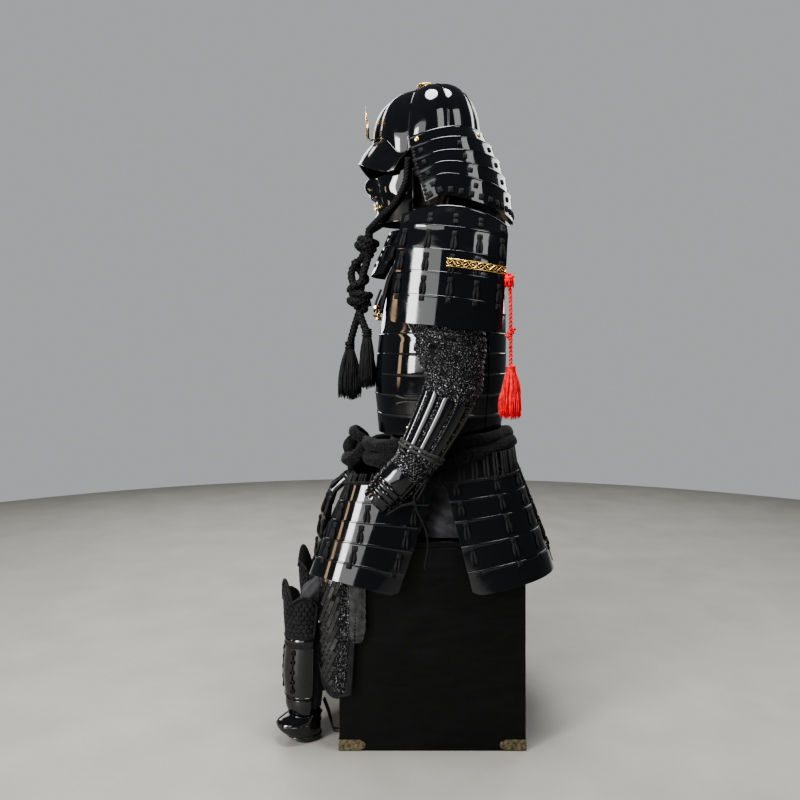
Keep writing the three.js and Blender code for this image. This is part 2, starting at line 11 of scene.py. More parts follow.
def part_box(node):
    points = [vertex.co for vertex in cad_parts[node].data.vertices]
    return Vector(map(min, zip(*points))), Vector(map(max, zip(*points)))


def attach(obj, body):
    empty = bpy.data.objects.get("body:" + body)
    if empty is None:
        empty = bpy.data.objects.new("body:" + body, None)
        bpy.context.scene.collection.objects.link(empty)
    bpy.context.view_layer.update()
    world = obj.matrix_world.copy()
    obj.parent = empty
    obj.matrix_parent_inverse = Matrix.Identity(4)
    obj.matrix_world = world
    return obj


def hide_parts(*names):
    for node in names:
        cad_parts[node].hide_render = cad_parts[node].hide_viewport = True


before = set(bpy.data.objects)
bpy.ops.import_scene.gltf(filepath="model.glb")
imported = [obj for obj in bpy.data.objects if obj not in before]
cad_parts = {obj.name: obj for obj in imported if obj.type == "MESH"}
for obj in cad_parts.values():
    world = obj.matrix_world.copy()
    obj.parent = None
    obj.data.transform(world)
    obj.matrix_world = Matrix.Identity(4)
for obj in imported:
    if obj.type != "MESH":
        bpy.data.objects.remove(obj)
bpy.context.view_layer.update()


# Camera: level, at the armour's left side.
camera = bpy.data.objects.new("camera", bpy.data.cameras.new("camera"))
bpy.context.scene.collection.objects.link(camera)
camera.location = (1.742, -0.065, 0.780)
camera.rotation_euler = (math.radians(90), 0, math.radians(90))
camera.data.lens = 35.1
camera.data.shift_y = -0.05
bpy.context.scene.camera = camera


# Chin cords: two thick round braids of black silk from under the helmet's rim to one big
# knot below the chin. Each is braided over a core from eight strands, four wound each way.
SIDES = (("left", 1), ("right", -1))


def at(x, y, z):
    return Vector((x, y, z)) / 1000


def travelled(path):
    """How far along the path each of its points lies."""
    return np.concatenate([[0], np.cumsum([(q - p).length for p, q in zip(path, path[1:])])])


def smooth(points, count):
    """Evenly spread points on a smooth curve through the given ones."""
    points = [Vector(p) for p in points]
    ends = [2 * points[0] - points[1], *points, 2 * points[-1] - points[-2]]
    curve = []
    for a, b, c, d in zip(ends, ends[1:], ends[2:], ends[3:]):
        for step in range(24):
            t = step / 24
            curve.append(0.5 * (2 * b + (c - a) * t + (2 * a - 5 * b + 4 * c - d) * t ** 2
                                + (3 * b - 3 * c + d - a) * t ** 3))
    curve.append(points[-1])
    lengths = travelled(curve)
    wanted = np.linspace(0, lengths[-1], count + 1)
    columns = [np.interp(wanted, lengths, [p[i] for p in curve]) for i in range(3)]
    return [Vector(p) for p in zip(*columns)]


def run_length(path):
    return sum((q - p).length for p, q in zip(path, path[1:]))


def frames_along(path):
    """Two directions square to the path at each of its points, with no twist between them."""
    heading = (path[1] - path[0]).normalized()
    side = heading.cross(Vector((0, 0, 1)) if abs(heading.z) < 0.9 else Vector((1, 0, 0)))
    frames = []
    for i in range(len(path)):
        heading = (path[min(i + 1, len(path) - 1)] - path[max(i - 1, 0)]).normalized()
        side = (side - heading * side.dot(heading)).normalized()
        frames.append((side, heading.cross(side)))
    return frames


def tube(path, radius, sides=8):
    """Corners and faces of a closed tube; radius is one number or one for each point."""
    radii = radius if hasattr(radius, "__len__") else [radius] * len(path)
    corners, faces = [], []
    for point, (side, up), r in zip(path, frames_along(path), radii):
        for k in range(sides):
            turn = 2 * math.pi * k / sides
            corners.append(point + (side * math.cos(turn) + up * math.sin(turn)) * r)
    for i in range(len(path) - 1):
        for k in range(sides):
            a, b = i * sides + k, i * sides + (k + 1) % sides
            faces.append((a, b, b + sides, a + sides))
    faces.append(tuple(reversed(range(sides))))
    faces.append(tuple(range(len(corners) - sides, len(corners))))
    return corners, faces


def braid(path, radius, strands=4, lay=4.4):
    """Tubes of a round braid: strands wound each way over a core, one turn every lay radii."""
    core, middle, strand, weave = 0.75, 0.77, 0.24, 0.07
    made = [tube(path, radius * core, 10)]
    frames = frames_along(path)
    for way in (1, -1):
        for k in range(strands):
            line = []
            for point, (side, up), gone in zip(path, frames, travelled(path)):
                turn = way * 2 * math.pi * gone / (lay * radius) + 2 * math.pi * k / strands
                over = 1 + weave * way * math.cos(strands * turn)
                line.append(point + (side * math.cos(turn) + up * math.sin(turn)) * radius * middle * over)
            made.append(tube(line, radius * strand, 5))
    return made


def piece_of(name, parts, finish):
    """One smooth-shaded piece from several sets of corners and faces."""
    corners, faces = [], []
    for part_corners, part_faces in parts:
        start = len(corners)
        corners += [tuple(c) for c in part_corners]
        faces += [tuple(start + i for i in face) for face in part_faces]
    mesh = bpy.data.meshes.new(name)
    mesh.from_pydata(corners, [], faces)
    mesh.materials.append(finish)
    piece = bpy.data.objects.new(name, mesh)
    bpy.context.scene.collection.objects.link(piece)
    mesh.shade_smooth()
    return piece


def new_finish(name, colour, roughness, metallic=0.0):
    material = bpy.data.materials.new(name)
    material.use_nodes = True
    shader = material.node_tree.nodes["Principled BSDF"]
    shader.inputs["Base Color"].default_value = (*colour, 1)
    shader.inputs["Roughness"].default_value = roughness
    shader.inputs["Metallic"].default_value = metallic
    return material


def pattern(material, kind, scale, stretch=(1, 1, 1), **settings):
    """A procedural texture on the piece's own coordinates; returns its value."""
    nodes, links = material.node_tree.nodes, material.node_tree.links
    coordinates = nodes.new("ShaderNodeTexCoord")
    mapping = nodes.new("ShaderNodeMapping")
    mapping.inputs["Scale"].default_value = stretch
    texture = nodes.new(f"ShaderNodeTex{kind}")
    links.new(coordinates.outputs["Object"], mapping.inputs["Vector"])
    links.new(mapping.outputs["Vector"], texture.inputs["Vector"])
    texture.inputs["Scale"].default_value = scale
    for name, value in settings.items():
        if name in texture.inputs:
            texture.inputs[name].default_value = value
        else:
            setattr(texture, name, value)
    return texture.outputs["Distance" if kind == "Voronoi" else "Fac"]


def spread(material, value, socket, low, high, begin=0.3, end=0.7):
    """Lets a texture's value move a number of the shader between low and high."""
    nodes, links = material.node_tree.nodes, material.node_tree.links
    remap = nodes.new("ShaderNodeMapRange")
    for name, number in (("From Min", begin), ("From Max", end), ("To Min", low), ("To Max", high)):
        remap.inputs[name].default_value = number
    links.new(value, remap.inputs["Value"])
    links.new(remap.outputs["Result"], nodes["Principled BSDF"].inputs[socket])


def tint(material, value, first, second, begin=0.3, end=0.7):
    nodes, links = material.node_tree.nodes, material.node_tree.links
    ramp = nodes.new("ShaderNodeValToRGB")
    ramp.color_ramp.elements[0].position = begin
    ramp.color_ramp.elements[1].position = end
    ramp.color_ramp.elements[0].color = (*first, 1)
    ramp.color_ramp.elements[1].color = (*second, 1)
    links.new(value, ramp.inputs["Fac"])
    links.new(ramp.outputs["Color"], nodes["Principled BSDF"].inputs["Base Color"])


def relief(material, value, strength, depth=0.0005):
    nodes, links = material.node_tree.nodes, material.node_tree.links
    bump = nodes.new("ShaderNodeBump")
    bump.inputs["Strength"].default_value = strength
    bump.inputs["Distance"].default_value = depth
    links.new(value, bump.inputs["Height"])
    links.new(bump.outputs["Normal"], nodes["Principled BSDF"].inputs["Normal"])


def dyed(name, dark, light, roughness, sheen):
    """Spun thread or cloth: uneven dye and a soft sheen."""
    material = new_finish(name, dark, roughness)
    tint(material, pattern(material, "Noise", 90, Detail=4.0), dark, light)
    shader = material.node_tree.nodes["Principled BSDF"]
    shader.inputs["Sheen Weight"].default_value = sheen
    shader.inputs["Sheen Roughness"].default_value = 0.4
    shader.inputs["Specular IOR Level"].default_value = 0.2
    return material


def silk(name, dark, light, roughness, sheen):
    """Dyed silk thread with its fine fibres."""
    material = dyed(name, dark, light, roughness, sheen)
    relief(material, pattern(material, "Noise", 1400, Detail=2.0), 0.5, 0.0003)
    return material


def mount(piece, slot, node=None):
    """Fixes a piece to the set, in the place of a CAD node if it has one. Its slot argument is not used."""
    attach(piece, "root")
    if node:
        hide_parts(node)


black_silk = silk("black silk cord", (0.0018, 0.0018, 0.002), (0.007, 0.007, 0.0075), 0.62, 0.03)

CHIN_CORD = 0.014
chin_run = [at(98, -48, 1206), at(97, -50, 1186), at(93, -54, 1154), at(77, -76, 1116),
            at(53, -103, 1094), at(32, -122, 1078), at(15, -136, 1067)]
for side, x_way in SIDES:
    path = smooth([Vector((x_way * p.x, p.y, p.z)) for p in chin_run], 84)
    cord = piece_of(f"chin_cord_{side}_braid", braid(path, CHIN_CORD / 2), black_silk)
    mount(cord, "black_cord", f"chin_cord_{side}")


# Knot and tails of the chin cord: the doubled cord is wrapped twice at the top, crosses
# itself, is wrapped again below, and ends in two tails, each bound above a tassel.
def coil(centre, radius, axis, turns, rise, count=22):
    """Points of a loose coil round an axis."""
    axis = Vector(axis).normalized()
    side = axis.cross(Vector((1, 0, 0))).normalized()
    up = axis.cross(side)
    steps = int(count * turns)
    points = []
    for i in range(steps + 1):
        turn = 2 * math.pi * i / count
        points.append(centre + (side * math.cos(turn) + up * math.sin(turn)) * radius
                      + axis * rise * (i / steps - 0.5))
    return points


def soft_cord(points, radius, count):
    return braid(smooth(points, count), radius)


knot_radius = 0.0086
knot = soft_cord(coil(at(0, -140, 1036), 0.0175, (0, 0.5, 1), 2.2, 0.030), knot_radius, 90)
knot += soft_cord([at(12, -134, 1064), at(4, -138, 1040), at(-6, -150, 1010), at(-10, -172, 984),
                   at(-6, -172, 958), at(4, -158, 938), at(10, -142, 918), at(4, -136, 900)],
                  knot_radius, 80)
knot += soft_cord([at(-12, -134, 1064), at(-2, -134, 1030), at(12, -138, 1000), at(16, -146, 972),
                   at(10, -150, 948), at(-6, -156, 930), at(-14, -164, 912), at(-4, -160, 896)],
                  knot_radius, 80)
knot += soft_cord([at(2, -166, 1000), at(-14, -160, 988), at(-16, -146, 970), at(0, -142, 958),
                   at(16, -150, 952), at(14, -168, 944), at(-4, -178, 936)], knot_radius, 70)
knot += soft_cord(coil(at(0, -156, 915), 0.0185, (0, 0.35, 1), 2.1, 0.034), knot_radius, 90)
knot_piece = piece_of("chin_knot_loops", knot, black_silk)
mount(knot_piece, "black_cord", "chin_knot")

dice = random.Random(7)


def tassel(top, skirt_top, bottom, reach, neck, threads, thick=0.0009):
    """Threads of a tassel from its binding to their loose, uneven ends."""
    made = []
    for _ in range(threads):
        turn, share = dice.uniform(0, 2 * math.pi), dice.random() ** 0.5
        out = Vector((math.cos(turn), math.sin(turn), 0))
        foot = bottom.z + dice.uniform(0, 0.016) + 0.006 * share
        wave = dice.uniform(-0.0025, 0.0025)
        line = [top + out * neck * share * 0.8]
        for along, spread_out, drop in ((0, neck * share, 0), (0.3, reach * 0.78 * share + wave, 0.35),
                                        (0.7, reach * 0.93 * share - wave, 0.7), (1, reach * share, 1)):
            spot = skirt_top.lerp(bottom, along) + out * spread_out
            line.append(Vector((spot.x, spot.y, skirt_top.z + (foot - skirt_top.z) * drop)))
        made.append(tube(smooth(line, 7), [thick] * 6 + [thick * 0.9, thick * 0.4], 4))
    return made


def binding(centre, radius, wraps, thread):
    return tube(coil(centre, radius, (0, 0, 1), wraps, wraps * thread * 1.9, 18), thread, 6)


for name, x, y, end, reach in (("front", -14, -178, 815, 0.0262), ("rear", 22, -138, 841, 0.0185)):
    start, ring = at(x * 0.5, -156, 889), at(x, y, end)
    tail = soft_cord([start, start.lerp(ring, 0.55) + at(0, -1, 0), ring], 0.0084, 36)
    skirt = tassel(ring, ring + at(0, 0, -9), ring + at(0, 0, -127), reach, 0.0085,
                   300 if name == "front" else 200, 0.0013)
    wraps = [binding(ring + at(0, 0, 2), 0.0092, 2, 0.0022),
             binding(ring + at(0, 0, -7), 0.0094, 1, 0.002)]
    piece = piece_of(f"chin_tassel_{name}_threads", tail + skirt + wraps, black_silk)
    mount(piece, "black_cord", f"chin_tassel_{name}")


# Red cords: a two-ply silk cord is knotted to the rear end of each shoulder guard's gold
# bar, hangs straight, and is knotted again above its tassel.
red_silk = silk("red silk", (0.36, 0.006, 0.008), (0.78, 0.022, 0.026), 0.6, 0.06)
RED_CORD = 0.008
red_route = [at(233, 146, 940), at(233, 148.5, 900), at(233, 149, 840), at(233, 149, 768)]


def twist(path, radius, plies=2, lay=4):
    """Tubes of a laid cord: plies that wind one way round each other."""
    middle, ply = 0.48, 0.56
    made = []
    for k in range(plies):
        line = []
        for point, (side, up), gone in zip(path, frames_along(path), travelled(path)):
            turn = 2 * math.pi * (gone / (lay * radius) + k / plies)
            line.append(point + (side * math.cos(turn) + up * math.sin(turn)) * radius * middle)
        made.append(tube(line, radius * ply, 6))
    return made


for side, x_way in SIDES:
    path = smooth([Vector((x_way * p.x, p.y, p.z)) for p in red_route], 110)
    cord = piece_of(f"red_cord_{side}_twist", twist(path, RED_CORD / 2), red_silk)
    mount(cord, "red_silk", f"red_cord_{side}")
    x = 233 * x_way
    knots = twist(coil(at(x, 146, 938), 0.0062, (0.3, 0.2, 1), 2.4, 0.014, 20), 0.0034)
    knots += twist(coil(at(x, 148, 832), 0.0048, (0.2, 0.5, 1), 3.0, 0.022, 20), 0.003)
    for _ in range(26):
        turn = dice.uniform(0, 2 * math.pi)
        out = Vector((math.cos(turn), math.sin(turn), 0))
        knots.append(tube([at(x, 146, 942) + out * 0.004, at(x, 146, 934) + out * 0.008,
                           at(x, 146, 922 + dice.uniform(-4, 4)) + out * 0.009], 0.0007, 4))
    skirt = tassel(at(x, 149, 767), at(x, 149, 757), at(x, 148, 661), 0.0222, 0.0095, 320)
    wraps = [binding(at(x, 149, 762), 0.0088, 4, 0.0015)]
    tuft = piece_of(f"red_tassel_{side}_threads", knots + skirt + wraps, red_silk)
    mount(tuft, "red_silk", f"red_tassel_{side}")


# Wrist cord: a thin black cord left hanging from the left hand guard's strap.
wrist_run = [at(259, -38, 514), at(259, -33, 494), at(258, -22, 470), at(256, -14, 448),
             at(254, -12, 420), at(252, -16, 396), at(251, -18, 380)]
path = smooth(wrist_run, 90)
WRIST_CORD = 0.004
cord = piece_of("wrist_cord_left_braid", braid(path, WRIST_CORD / 2, 3, 6), black_silk)
mount(cord, "black_cord", "wrist_cord_left")


# Storage chest: five boards and a loose lid in satin black lacquer, worn and scratched. The side
# boards lap the front and rear ones, and a fine gap shows the lid's joint.
chest_lacquer = new_finish("chest lacquer", (0.0035, 0.0036, 0.0042), 0.34)
scratch = pattern(chest_lacquer, "Noise", 5, (1, 1.4, 9), Detail=8.0, Distortion=2.2)
tint(chest_lacquer, scratch, (0.0012, 0.0013, 0.0014), (0.003, 0.0031, 0.0033), 0.35, 0.72)
spread(chest_lacquer, pattern(chest_lacquer, "Noise", 14, Detail=6.0), "Roughness", 0.27, 0.46)
relief(chest_lacquer, pattern(chest_lacquer, "Noise", 420, Detail=3.0), 0.12, 0.0004)
chest_lacquer.node_tree.nodes["Principled BSDF"].inputs["Specular IOR Level"].default_value = 0.2


def edit_all(*steps):
    """Runs edit-mode steps on the whole of the active piece."""
    bpy.ops.object.mode_set(mode="EDIT")
    bpy.ops.mesh.select_all(action="SELECT")
    for step in steps:
        step()
    bpy.ops.object.mode_set(mode="OBJECT")


def named(name, finish):
    piece = bpy.context.object
    piece.name = piece.data.name = name
    piece.data.materials.clear()
    piece.data.materials.append(finish)
    return piece


def settle():
    """Puts the active piece's place, turn and size into its mesh."""
    bpy.ops.object.transform_apply(location=True, rotation=True, scale=True)


def modify(piece, kind, **settings):
    bpy.ops.object.select_all(action="DESELECT")
    bpy.context.view_layer.objects.active = piece
    piece.select_set(True)
    modifier = piece.modifiers.new(kind, kind)
    for name, value in settings.items():
        setattr(modifier, name, value)
    bpy.ops.object.modifier_apply(modifier=modifier.name)


def block(name, low, high, edge, finish):
    """A board between two corners, with rounded edges."""
    bpy.ops.object.select_all(action="DESELECT")
    bpy.ops.mesh.primitive_cube_add(size=1, location=(low + high) / 2, scale=high - low)
    settle()
    edit_all(lambda: bpy.ops.mesh.bevel(offset=edge, segments=3, profile=0.6))
    return named(name, finish)


def join(name, pieces):
    bpy.ops.object.select_all(action="DESELECT")
    for piece in pieces:
        piece.select_set(True)
    bpy.context.view_layer.objects.active = pieces[0]
    if len(pieces) > 1:
        bpy.ops.object.join()
    pieces[0].name = pieces[0].data.name = name
    return pieces[0]


low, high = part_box("chest_body")
board, inset = 0.012, 0.002
boards = []
for name, near, far, edge in (
        ("front board", (low.x + board, low.y, 0), (high.x - board, low.y + board, high.z), 0.0006),
        ("rear board", (low.x + board, high.y - board, 0), (high.x - board, high.y, high.z), 0.0006),
        ("left board", (high.x - board, low.y, 0), high, 0.0012),
        ("right board", low, (low.x + board, high.y, high.z), 0.0012),
        ("bottom board", (low.x + inset, low.y + inset, 0), (high.x - inset, high.y - inset, board), 0.0012)):
    boards.append(block(name, Vector(near), Vector(far), edge, chest_lacquer))
chest = join("chest_boards", boards)
mount(chest, "chest_lacquer", "chest_body")
low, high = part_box("chest_lid")
lid = block("chest_lid_board", Vector((low.x, low.y, high.z - board)), high, 0.0018, chest_lacquer)
mount(lid, "chest_lacquer", "chest_lid")


# Corner plates: aged brass sheet cut to a scalloped outline in millimetres, bent round each bottom
# corner of the chest and held by small round-headed nails.
old_brass = new_finish("aged brass", (0.2, 0.16, 0.1), 0.5, 0.85)
tarnish = pattern(old_brass, "Noise", 160, Detail=6.0)
tint(old_brass, tarnish, (0.05, 0.044, 0.03), (0.22, 0.185, 0.115))
relief(old_brass, pattern(old_brass, "Noise", 500, Detail=4.0), 0.4, 0.0004)


def cutout(name, outline, thickness, finish):
    """A plate cut to an outline given in its own plane, facing +Z, with softened edges."""
    bpy.ops.object.select_all(action="DESELECT")
    bpy.ops.mesh.primitive_circle_add(vertices=len(outline), radius=1, fill_type="NGON")
    for vertex, (x, y) in zip(bpy.context.object.data.vertices, outline):
        vertex.co = (x, y, 0)
    edit_all(lambda: bpy.ops.mesh.normals_make_consistent(inside=False))
    piece = named(name, finish)
    if piece.data.polygons[0].normal.z < 0:
        piece.data.flip_normals()
    modify(piece, "SOLIDIFY", thickness=thickness, offset=-1)
    modify(piece, "BEVEL", width=0.0003, segments=2, limit_method="ANGLE", angle_limit=0.7)
    return piece


def dome(name, place, radius, height, finish, segments=14):
    """A round nail or rivet head standing on a place's face."""
    bpy.ops.object.select_all(action="DESELECT")
    bpy.ops.mesh.primitive_uv_sphere_add(segments=segments, ring_count=8, radius=1)
    head = named(name, finish)
    head.data.transform(place @ Matrix.Diagonal((radius, radius, height, 1)))
    head.data.shade_smooth()
    return head


def facing(origin, across, up):
    """A place whose +Z looks out of a face, with +X across it and +Y up it."""
    across = across.normalized()
    out = across.cross(up).normalized()
    place = Matrix((across, out.cross(across), out)).transposed().to_4x4()
    place.translation = origin
    return place


scallop = [(0.2, 0.3), (0.2, 21.6), (42, 21.6), (45, 20.6), (46, 18), (49, 18.4), (52.5, 15.5),
           (53.8, 11), (52.5, 6.5), (49, 3.6), (46, 3), (44, 0.3)]
for end, y_way in (("front", -1), ("rear", 1)):
    for side, x_way in SIDES:
        low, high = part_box(f"chest_corner_{end}_{side}")
        corner = Vector((high.x if x_way > 0 else low.x, high.y if y_way > 0 else low.y, low.z))
        plates = []
        for inward, out in ((Vector((0, -y_way, 0)), Vector((x_way, 0, 0))),
                            (Vector((-x_way, 0, 0)), Vector((0, y_way, 0)))):
            turned = Matrix((inward, Vector((0, 0, 1)), out)).transposed().to_4x4()
            turned.translation = corner
            outline = [(x / 1000, y / 1000) for x, y in scallop]
            plate = cutout("plate", outline, 0.0011, old_brass)
            plate.data.transform(turned)
            if turned.determinant() < 0:
                plate.data.flip_normals()
            plates.append(plate)
            for x, y in ((7, 16), (7, 5), (33, 16), (33, 5), (48, 11)):
                nail = turned @ Matrix.Translation(at(x, y, 0))
                plates.append(dome("nail", nail, 0.0016, 0.0009, old_brass, 10))
        piece = join(f"chest_corner_{end}_{side}_plate", plates)
        mount(piece, "old_brass", f"chest_corner_{end}_{side}")


# Armour stand: a plain post, foot, long shoulder bar and head block of dark stained wood.
stand_wood = new_finish("stand wood", (0.06, 0.035, 0.02), 0.55)
grain = pattern(stand_wood, "Wave", 18, (1, 1, 0.08), Distortion=6.0, Detail=3.0)
tint(stand_wood, grain, (0.014, 0.009, 0.006), (0.04, 0.026, 0.017))
relief(stand_wood, grain, 0.15)
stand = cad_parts["armour_stand"]
stand.data.materials.clear()
stand.data.materials.append(stand_wood)


# Helmet bowl: eight lobed plates of gloss black lacquer meeting in fine raised seams, with a
# rolled rim. The lobes are hammered out, and the seams are riveted from inside.
lacquer = new_finish("black lacquer", (0.0032, 0.0036, 0.0046), 0.115)
smear = pattern(lacquer, "Noise", 22, Detail=5.0, Distortion=0.6)
spread(lacquer, smear, "Roughness", 0.035, 0.17, 0.42, 0.75)
relief(lacquer, pattern(lacquer, "Noise", 60, Detail=2.0), 0.05, 0.0006)
lacquer.node_tree.nodes["Principled BSDF"].inputs["Specular IOR Level"].default_value = 0.62


def panel(name, rows, thickness, finish, ring=False, edge=0.0005, sharp=35):
    """A wall of even thickness behind a grid of outer points. Rows run from top to bottom,
    and the points of a row anticlockwise as seen from above."""
    down, across = len(rows), len(rows[0])
    bpy.ops.object.select_all(action="DESELECT")
    bpy.ops.mesh.primitive_grid_add(x_subdivisions=across - 1, y_subdivisions=down - 1, size=1)
    piece = named(name, finish)
    points = [p for row in reversed(rows) for p in row]
    for vertex, point in zip(piece.data.vertices, points, strict=True):
        vertex.co = point
    if ring:
        edit_all(lambda: bpy.ops.mesh.remove_doubles(threshold=1e-6))
    modify(piece, "SOLIDIFY", thickness=thickness, offset=-1)
    if edge:
        modify(piece, "BEVEL", width=edge, segments=2, limit_method="ANGLE", angle_limit=0.9)
    piece.data.shade_smooth()
    bpy.ops.object.shade_smooth_by_angle(angle=math.radians(sharp))
    modify(piece, "WEIGHTED_NORMAL", keep_sharp=True)
    return piece


def loft(rows, count):
    """count + 1 rows through the given ones, along smooth lines down each column."""
    columns = [smooth(column, count) for column in zip(*rows)]
    return [list(row) for row in zip(*columns)]


def bump(value, middle, width):
    """1 at the middle, falling smoothly to nothing on both sides."""
    return math.exp(-((value - middle) / width) ** 2)


def bowl_point(share, angle):
    """share runs from the crown, 0, to the rim, 1; angle 0 is the brow."""
    front_ness = (1 + math.cos(angle)) / 2
    turn = abs(math.atan2(math.sin(angle), math.cos(angle)))
    rise = math.cos(share * math.pi / 2) ** (2 / 2.5)
    full = 2.8 + (2.1 - 2.8) * front_ness ** 2
    bulge = math.sin(share * math.pi / 2) ** (2 / full)
    lobe = 1 - 0.06 * (1 - abs(math.cos(angle * 4))) * min(1, bulge * 1.4)
    rim = 1264 - 2 * turn / math.pi - 44 * bump(turn, 1.06, 0.3)
    crown = 1398 + (1378 - 1398) * front_ness - 14 * (1 - bulge) ** 2
    return at(105 * bulge * lobe * math.sin(angle), -5 - 119 * bulge * lobe * math.cos(angle),
              rim + (crown - rim) * rise)


shares = [0.012, 0.06, 0.12, 0.2, 0.28, 0.36, 0.44, 0.52, 0.6, 0.67, 0.74, 0.8, 0.85, 0.9, 0.94, 0.97, 1]
bowl_rows = [[bowl_point(share, 2 * math.pi * j / 160) for j in range(161)] for share in shares]
parts = [panel("helmet_bowl_plates", bowl_rows, 0.0024, lacquer, ring=True)]
for lobe in range(8):
    seam_angle = math.pi * (lobe + 0.5) / 4
    seam = [bowl_point(0.1 + 0.9 * i / 24, seam_angle) for i in range(25)]
    parts.append(piece_of("seam", [tube(seam, 0.0014, 6)], lacquer))
rim = [bowl_point(1, 2 * math.pi * j / 96) for j in range(97)]
parts.append(piece_of("rim", [tube(rim, 0.0016, 6)], lacquer))
bowl = join("helmet_bowl_plates", parts)
mount(bowl, "lacquer", "helmet_bowl")


# Crown ornament: an openwork gilt rosette over the crown's hole, of two rings of petals, each
# with a wire loop, between two plain rings.
gold = new_finish("gilt", (0.86, 0.6, 0.2), 0.24, 1.0)
tint(gold, pattern(gold, "Noise", 120, Detail=4.0), (0.72, 0.47, 0.14), (0.95, 0.72, 0.3))
relief(gold, pattern(gold, "Noise", 600, Detail=2.0), 0.18, 0.0003)
rosette = []
for ring, (count, radius, z) in enumerate(((12, 16.5, 1392.5), (8, 10.5, 1394.5))):
    for k in range(count):
        turn = 2 * math.pi * (k + ring / 2) / count
        out = Vector((math.cos(turn), math.sin(turn), 0))
        petal = facing(at(0, -6, z) + out * radius / 1000, out.cross(Vector((0, 0, 1))), out)
        rosette.append(dome("petal", petal, 0.0034, 0.0016, gold, 10))
        loop = coil(at(0, -6, z) + out * (radius + 1) / 1000, 0.0036, out * 0.2 + Vector((0, 0, 1)), 1, 0, 12)
        rosette.append(piece_of("loop", [tube(loop, 0.0007, 5)], gold))
for radius, z in ((0.0205, 1390.5), (0.0068, 1395.5)):
    ring = coil(at(0, -6, z), radius, (0, 0, 1), 1, 0, 32)
    rosette.append(piece_of("ring", [tube(ring, 0.0011, 6)], gold))
piece = join("crown_ornament_rosette", rosette)
mount(piece, "gold", "crown_ornament")


# Visor: a bent brow plate of the helmet, riveted under the bowl's front. It juts out and down
# over the face, and has a rolled rim.
def hem(rows, foot):
    """The line down one side of a grid of points, along its foot and up the other side."""
    return [row[0] for row in rows] + foot + [row[-1] for row in reversed(rows)]


turns = np.interp(np.linspace(0, 10, 49), range(11), (-69, -60, -45, -30, -15, 0, 15, 30, 45, 60, 69))
visor_top = [bowl_point(1, math.radians(turn)) - at(0, 0, 3) for turn in turns]
visor_tip = smooth([at(-90, -78, 1182), at(-82, -98, 1182), at(-52, -134, 1197), at(0, -156, 1217),
                    at(52, -134, 1197), at(82, -98, 1182), at(90, -78, 1182)], 48)
rows = [[p + Vector((-p.x, -0.005 - p.y, 0)).normalized() * 0.005 + at(0, 0, 6) for p in visor_top]]
for i in range(9):
    t = i / 8
    rows.append([a.lerp(b, t) + at(0, -3.5, 1) * math.sin(math.pi * t) for a, b in zip(visor_top, visor_tip)])
visor = panel("visor_plate", rows, 0.002, lacquer)
roll = piece_of("roll", [tube(hem(rows[1:-1], rows[-1]), 0.0014, 6)], lacquer)
visor = join("visor_plate", [visor, roll])
mount(visor, "lacquer", "visor")


# Crest: a plain pair of horns round a small disc, cut from gilt plate and standing on a black
# prong at the brow. The horns lie between a large arc and a smaller one set higher.
horns = []
for i in range(33):
    turn = math.radians(20 - 220 * i / 32)
    horns.append((0.046 * math.cos(turn), 0.046 * math.sin(turn) * 0.985))
for i in range(21):
    turn = math.radians(150 + 240 * i / 20)
    horns.append((0.026 * math.cos(turn), 0.006 + 0.026 * math.sin(turn)))
crest = cutout("crest_horns", horns, 0.0012, gold)
bpy.ops.object.select_all(action="DESELECT")
bpy.ops.mesh.primitive_cylinder_add(vertices=40, radius=0.0125, depth=0.0016, location=(0, 0.004, -0.0008))
settle()
disc = named("disc", gold)
modify(disc, "BEVEL", width=0.0005, segments=2, limit_method="ANGLE", angle_limit=0.7)
crest = join("crest_horns", [crest, disc])
crest.data.transform(Matrix.Translation((0, -0.140, 1.316)) @ Matrix.Rotation(math.radians(90), 4, "X"))
prong = [at(0, -120, 1272), at(0, -131, 1271), at(0, -135.5, 1276), at(0, -136, 1316)]
crest = join("crest_horns", [crest, piece_of("prong", [tube(prong, 0.0018, 8)], lacquer)])
mount(crest, "gold", "crest")


# Neck guard: a riveted band and four curved lames of lacquered iron, each hung outside the one
# above on knots of black braid. Every lame has a rolled top edge.
lacing_silk = dyed("black lacing", (0.002, 0.002, 0.0022), (0.008, 0.008, 0.0085), 0.65, 0.03)
relief(lacing_silk, pattern(lacing_silk, "Wave", 330, Distortion=1.5), 0.5, 0.0006)


def copies(name, model, places, finish):
    """One piece made of copies of a small model, one at each place; the model is used up."""
    corners = np.array([tuple(v.co) for v in model.data.vertices])
    faces = [tuple(face.vertices) for face in model.data.polygons]
    parts = []
    for place in places:
        turned = corners @ np.array(place.to_3x3()).T + np.array(place.translation)
        parts.append((turned.tolist(), faces))
    bpy.data.objects.remove(model)
    return piece_of(name, parts, finish)


def knot_model():
    """A square knot of flat braid, one unit half-wide: a fat pad with two strands crossed over."""
    bpy.ops.object.select_all(action="DESELECT")
    bpy.ops.mesh.primitive_cube_add(size=2)
    pad = named("pad", lacing_silk)
    pad.data.transform(Matrix.Diagonal((0.92, 0.92, 0.34, 1)))
    modify(pad, "BEVEL", width=0.3, segments=3)
    strands = [pad]
    for turn in (45, -45):
        bpy.ops.object.select_all(action="DESELECT")
        bpy.ops.mesh.primitive_uv_sphere_add(segments=8, ring_count=6, radius=1)
        strand = named("strand", lacing_silk)
        strand.data.transform(Matrix.Rotation(math.radians(turn), 4, "Z")
                              @ Matrix.Translation((0, 0, 0.22)) @ Matrix.Diagonal((1.1, 0.42, 0.3, 1)))
        strands.append(strand)
    return join("knot", strands)


